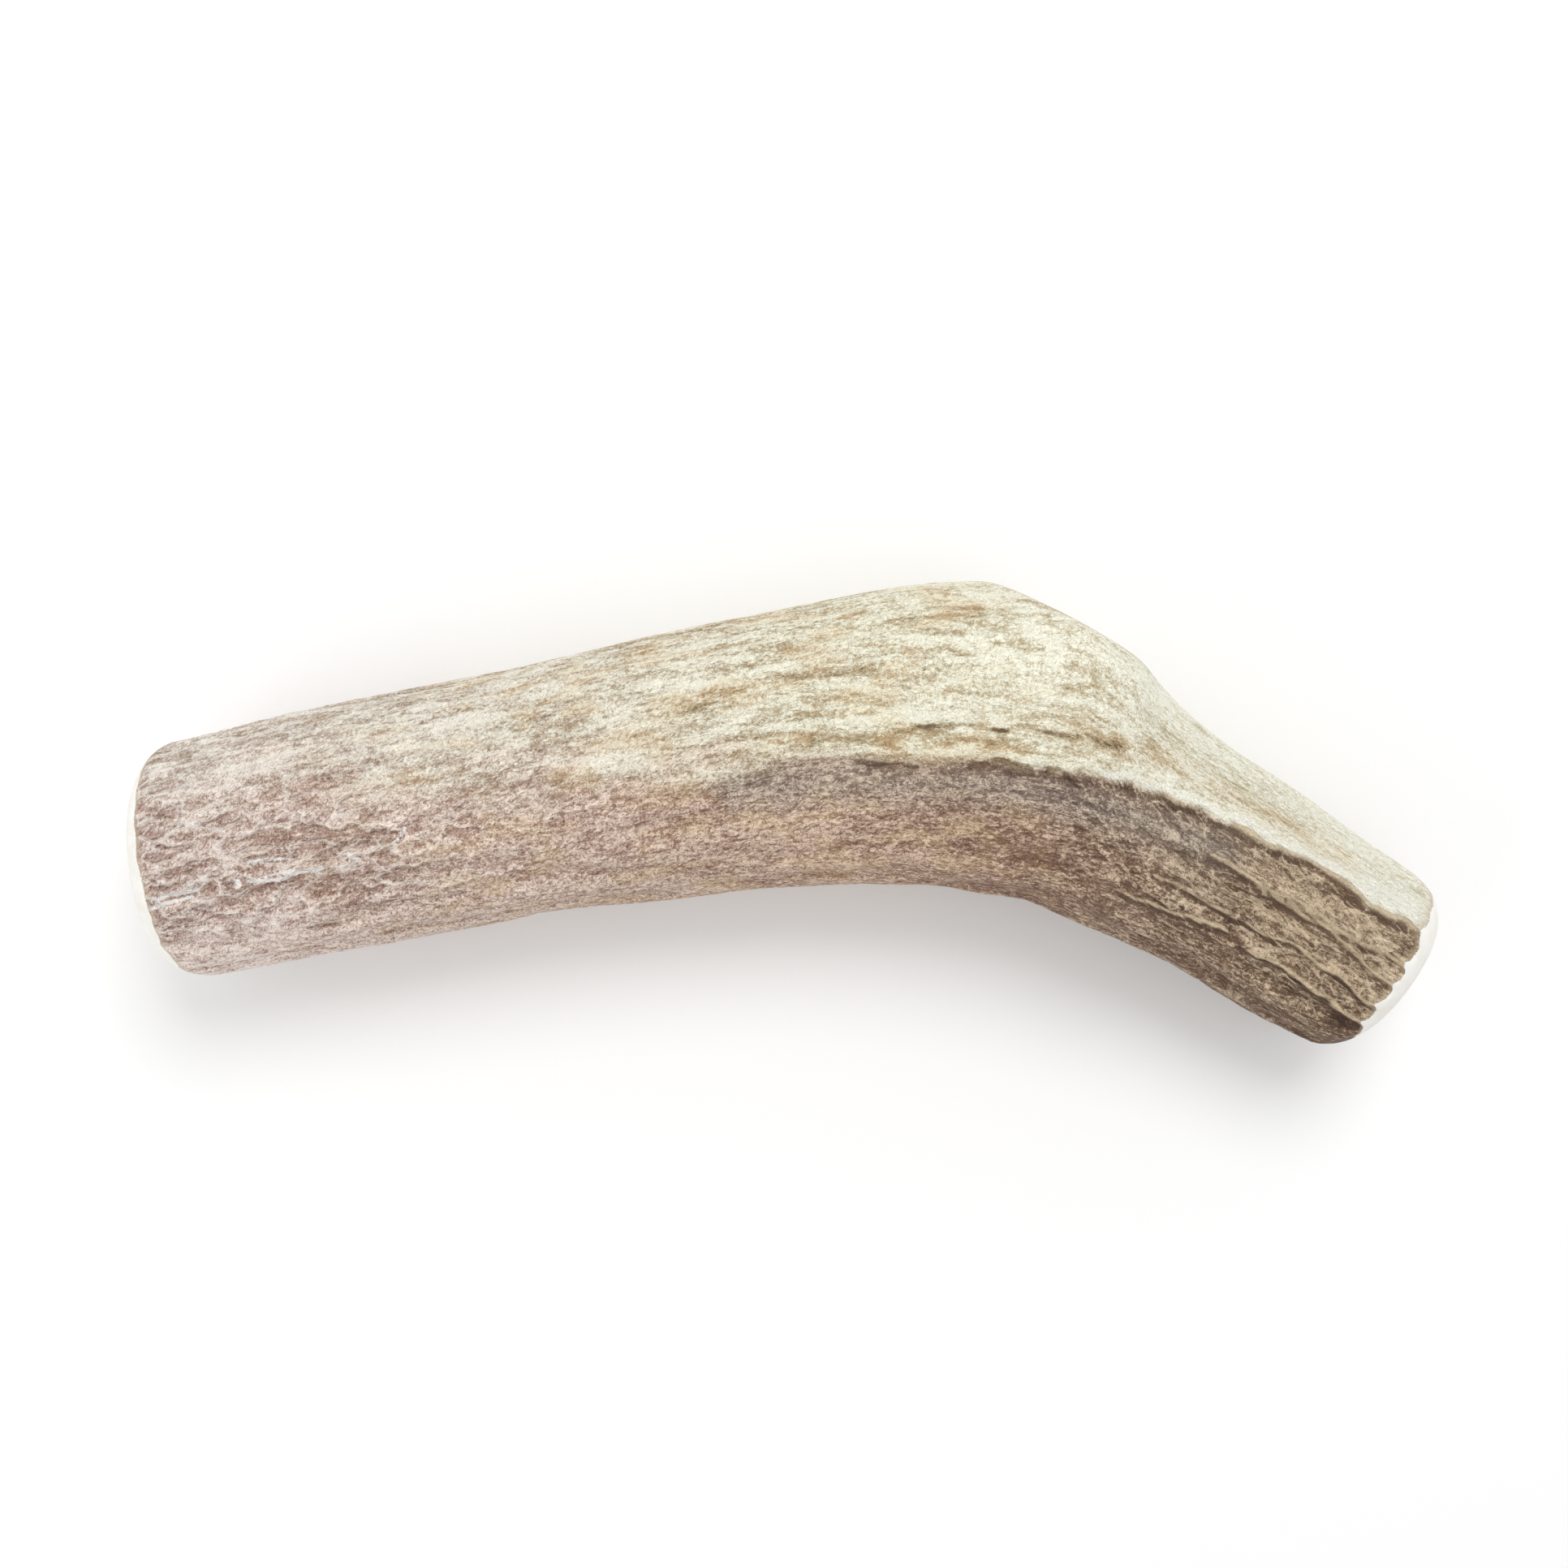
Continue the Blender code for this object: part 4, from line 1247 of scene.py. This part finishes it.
def bark_colour(n, worn, stain, share, crest_line, chalk_gap, dust):
    """The skin's colour between its pale and its dark tone, with its crest lines, scratches and dust."""
    pale = n.mix(worn, n.field("stained_pale", "Color"), n.field("worn_pale", "Color"))
    dark = n.mix(worn, n.field("stained_dark", "Color"), n.field("worn_dark", "Color"))
    colour = n.mix(share, pale, dark)
    colour = n.mix(n.step(stain, *UMBER_BORDER, 0.0, UMBER_SHARE), colour, solid(UMBER))
    colour = n.mix(n.step(stain, *CHALK_BORDER, CHALK_SHARE, 0.0), colour, solid(CHALK_WHITE))
    colour = n.mix(n.times(crest_line, CREST_TAN_SHARE), colour, solid(EDGE_TAN))
    colour = n.mix(n.step(chalk_gap, *CHALK_LINE_WIDTHS, CHALK_LINE_SHARE, 0.0), colour, solid(CHALK_WHITE))
    shade = n.step(dust, *DUST_BORDER, *DUST_SHADES)
    shade_colour = n.add("ShaderNodeCombineColor", Red=shade, Green=shade, Blue=shade).outputs[0]
    return n.mix(1.0, colour, shade_colour, "MULTIPLY")


def sanded_horn(n):
    """The colour and the relief of the sanded horn, with the pores of its spongy core."""
    core = n.field("core")
    place = n.stretched(n.add("ShaderNodeTexCoord").outputs["Object"], (1 / MM, 1 / MM, 1 / MM))
    clouds = n.noise(place, *HORN_NOISE)
    colour = n.mix(n.step(clouds, *HORN_CLOUD_BORDER), solid(SANDED_WHITE), solid(SANDED_CREAM))
    colour = n.mix(n.step(core, *CORE_TAN_BORDER, 0.0, CORE_TAN_SHARE), colour, solid(CORE_TAN))
    pore_size = n.times(n.math("MINIMUM", core, CORE_FULL), PORE_SIZE)
    pore_size = n.plus(pore_size, n.step(clouds, *HORN_CLOUD_BORDER, *PORE_SIZE_SPREAD))
    pores = 0.0
    for scale in PORE_SCALES:
        gap = n.less(pore_size, n.pores(place, scale))
        pores = n.math("MAXIMUM", pores, n.step(gap, *PORE_RIM))
    colour = n.mix(n.times(pores, PORE_SHARE), colour, solid(PORE_BROWN))
    return colour, n.less(n.times(clouds, HORN_WAVES), pores)


def antler_material():
    """Granular two-tone bark, with white sanded horn at the rims and a spongy core in the sawn faces."""
    n = Nodes("antler")
    noises = fine_noises(n, n.field("grain_place", "Vector"))
    ragged = n.times(noises["granules"], LINE_RAGGEDNESS)
    parts = {**noises, **bark_lines(n, noises["curls"], ragged)}
    worn = n.step(n.plus(n.field("past_border"), n.times(ragged, BORDER_RAGGEDNESS)), -1.0, 1.0)
    darkness = n.blend(worn, n.field("stained_darkness"), n.field("worn_darkness"))
    curls = n.less(parts["curl_line"], n.blend(worn, *CURL_ALREADY))
    curls = n.times(curls, n.blend(worn, *CURL_DARKNESS))
    stain = n.total(n.plus(darkness, curls), parts, DARKENED_BY)
    share = n.step(stain, *DARK_BORDER)
    chalk_gap = n.plus(n.field("chalk_gap"), n.times(ragged, CHALK_RAGGEDNESS))
    skin = bark_colour(n, worn, stain, share, parts["crest_line"], chalk_gap, noises["dust"])

    horn, horn_rise = sanded_horn(n)
    edge = n.plus(n.field("removed"), n.times(noises["granules"], EDGE_RAGGEDNESS))
    is_horn = n.step(edge, *HORN_BORDER)
    skin = n.mix(n.step(edge, *TAN_EDGE_BORDER, 0.0, TAN_EDGE_SHARE), skin, solid(EDGE_TAN))
    n.feed(n.shader.inputs["Base Color"], n.mix(is_horn, skin, horn))
    skin_roughness = n.step(share, 0.0, 1.0, *BARK_ROUGHNESS)
    n.feed(n.shader.inputs["Roughness"], n.blend(is_horn, skin_roughness, HORN_ROUGHNESS))
    n.shader.inputs["Specular IOR Level"].default_value = SPECULAR_LEVEL
    rise = n.blend(is_horn, n.total(BARK_LEVEL, parts, RAISED_BY), horn_rise)
    bump = n.add("ShaderNodeBump", Strength=RELIEF_STRENGTH, Distance=RELIEF_DEPTH * MM, Height=rise)
    n.feed(n.shader.inputs["Normal"], bump.outputs[0])
    return n.material


def floor():
    """A plain pale surface under the antler."""
    mesh = bpy.data.meshes.new("floor")
    half = FLOOR_HALF_WIDTH * MM
    corners = [(-half, -half, 0), (half, -half, 0), (half, half, 0), (-half, half, 0)]
    mesh.from_pydata(corners, [], [(0, 1, 2, 3)])
    n = Nodes("floor")
    n.feed(n.shader.inputs["Base Color"], solid(FLOOR_COLOUR))
    n.shader.inputs["Roughness"].default_value = FLOOR_ROUGHNESS
    n.shader.inputs["Specular IOR Level"].default_value = 0.0
    mesh.materials.append(n.material)
    plane = bpy.data.objects.new("floor", mesh)
    bpy.context.scene.collection.objects.link(plane)


def camera():
    """Straight down over the antler, so that the picture is as wide as the photograph's."""
    data = bpy.data.cameras.new("camera")
    data.sensor_width = SENSOR_WIDTH
    data.lens = SENSOR_WIDTH * CAMERA_ABOVE_MIDDLE / (PICTURE_SIDE * MILLIMETRES_PER_PIXEL)
    data.clip_start = CLIP_START * MM
    eye = bpy.data.objects.new("camera", data)
    height = MIDDLE_HEIGHT + CAMERA_ABOVE_MIDDLE
    eye.location = (CAMERA_OVER[0] * MM, CAMERA_OVER[1] * MM, height * MM)
    bpy.context.scene.collection.objects.link(eye)
    bpy.context.scene.camera = eye


def area_light(name, place, width, power):
    """A round lamp that shines at the antler."""
    data = bpy.data.lights.new(name, "AREA")
    data.shape = "DISK"
    data.size = width
    data.energy = power
    light = bpy.data.objects.new(name, data)
    light.location = place
    light.rotation_euler = (-Vector(place)).to_track_quat("-Z", "Y").to_euler()
    bpy.context.scene.collection.objects.link(light)


def lights():
    """Soft studio light: an even pale room, a broad key from the far side and a weak fill."""
    world = bpy.data.worlds.new("room")
    world.use_nodes = True
    background = world.node_tree.nodes["Background"]
    background.inputs["Color"].default_value = (1, 1, 1, 1)
    background.inputs["Strength"].default_value = ROOM_LIGHT
    bpy.context.scene.world = world
    area_light("key", *KEY_LIGHT)
    area_light("fill", *FILL_LIGHT)
    bpy.context.scene.view_settings.view_transform = "Standard"


def main():
    camera()
    lights()
    floor()
    antler = antler_object()
    antler.data.materials.append(antler_material())
    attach(antler, "root")
    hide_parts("antler")


main()
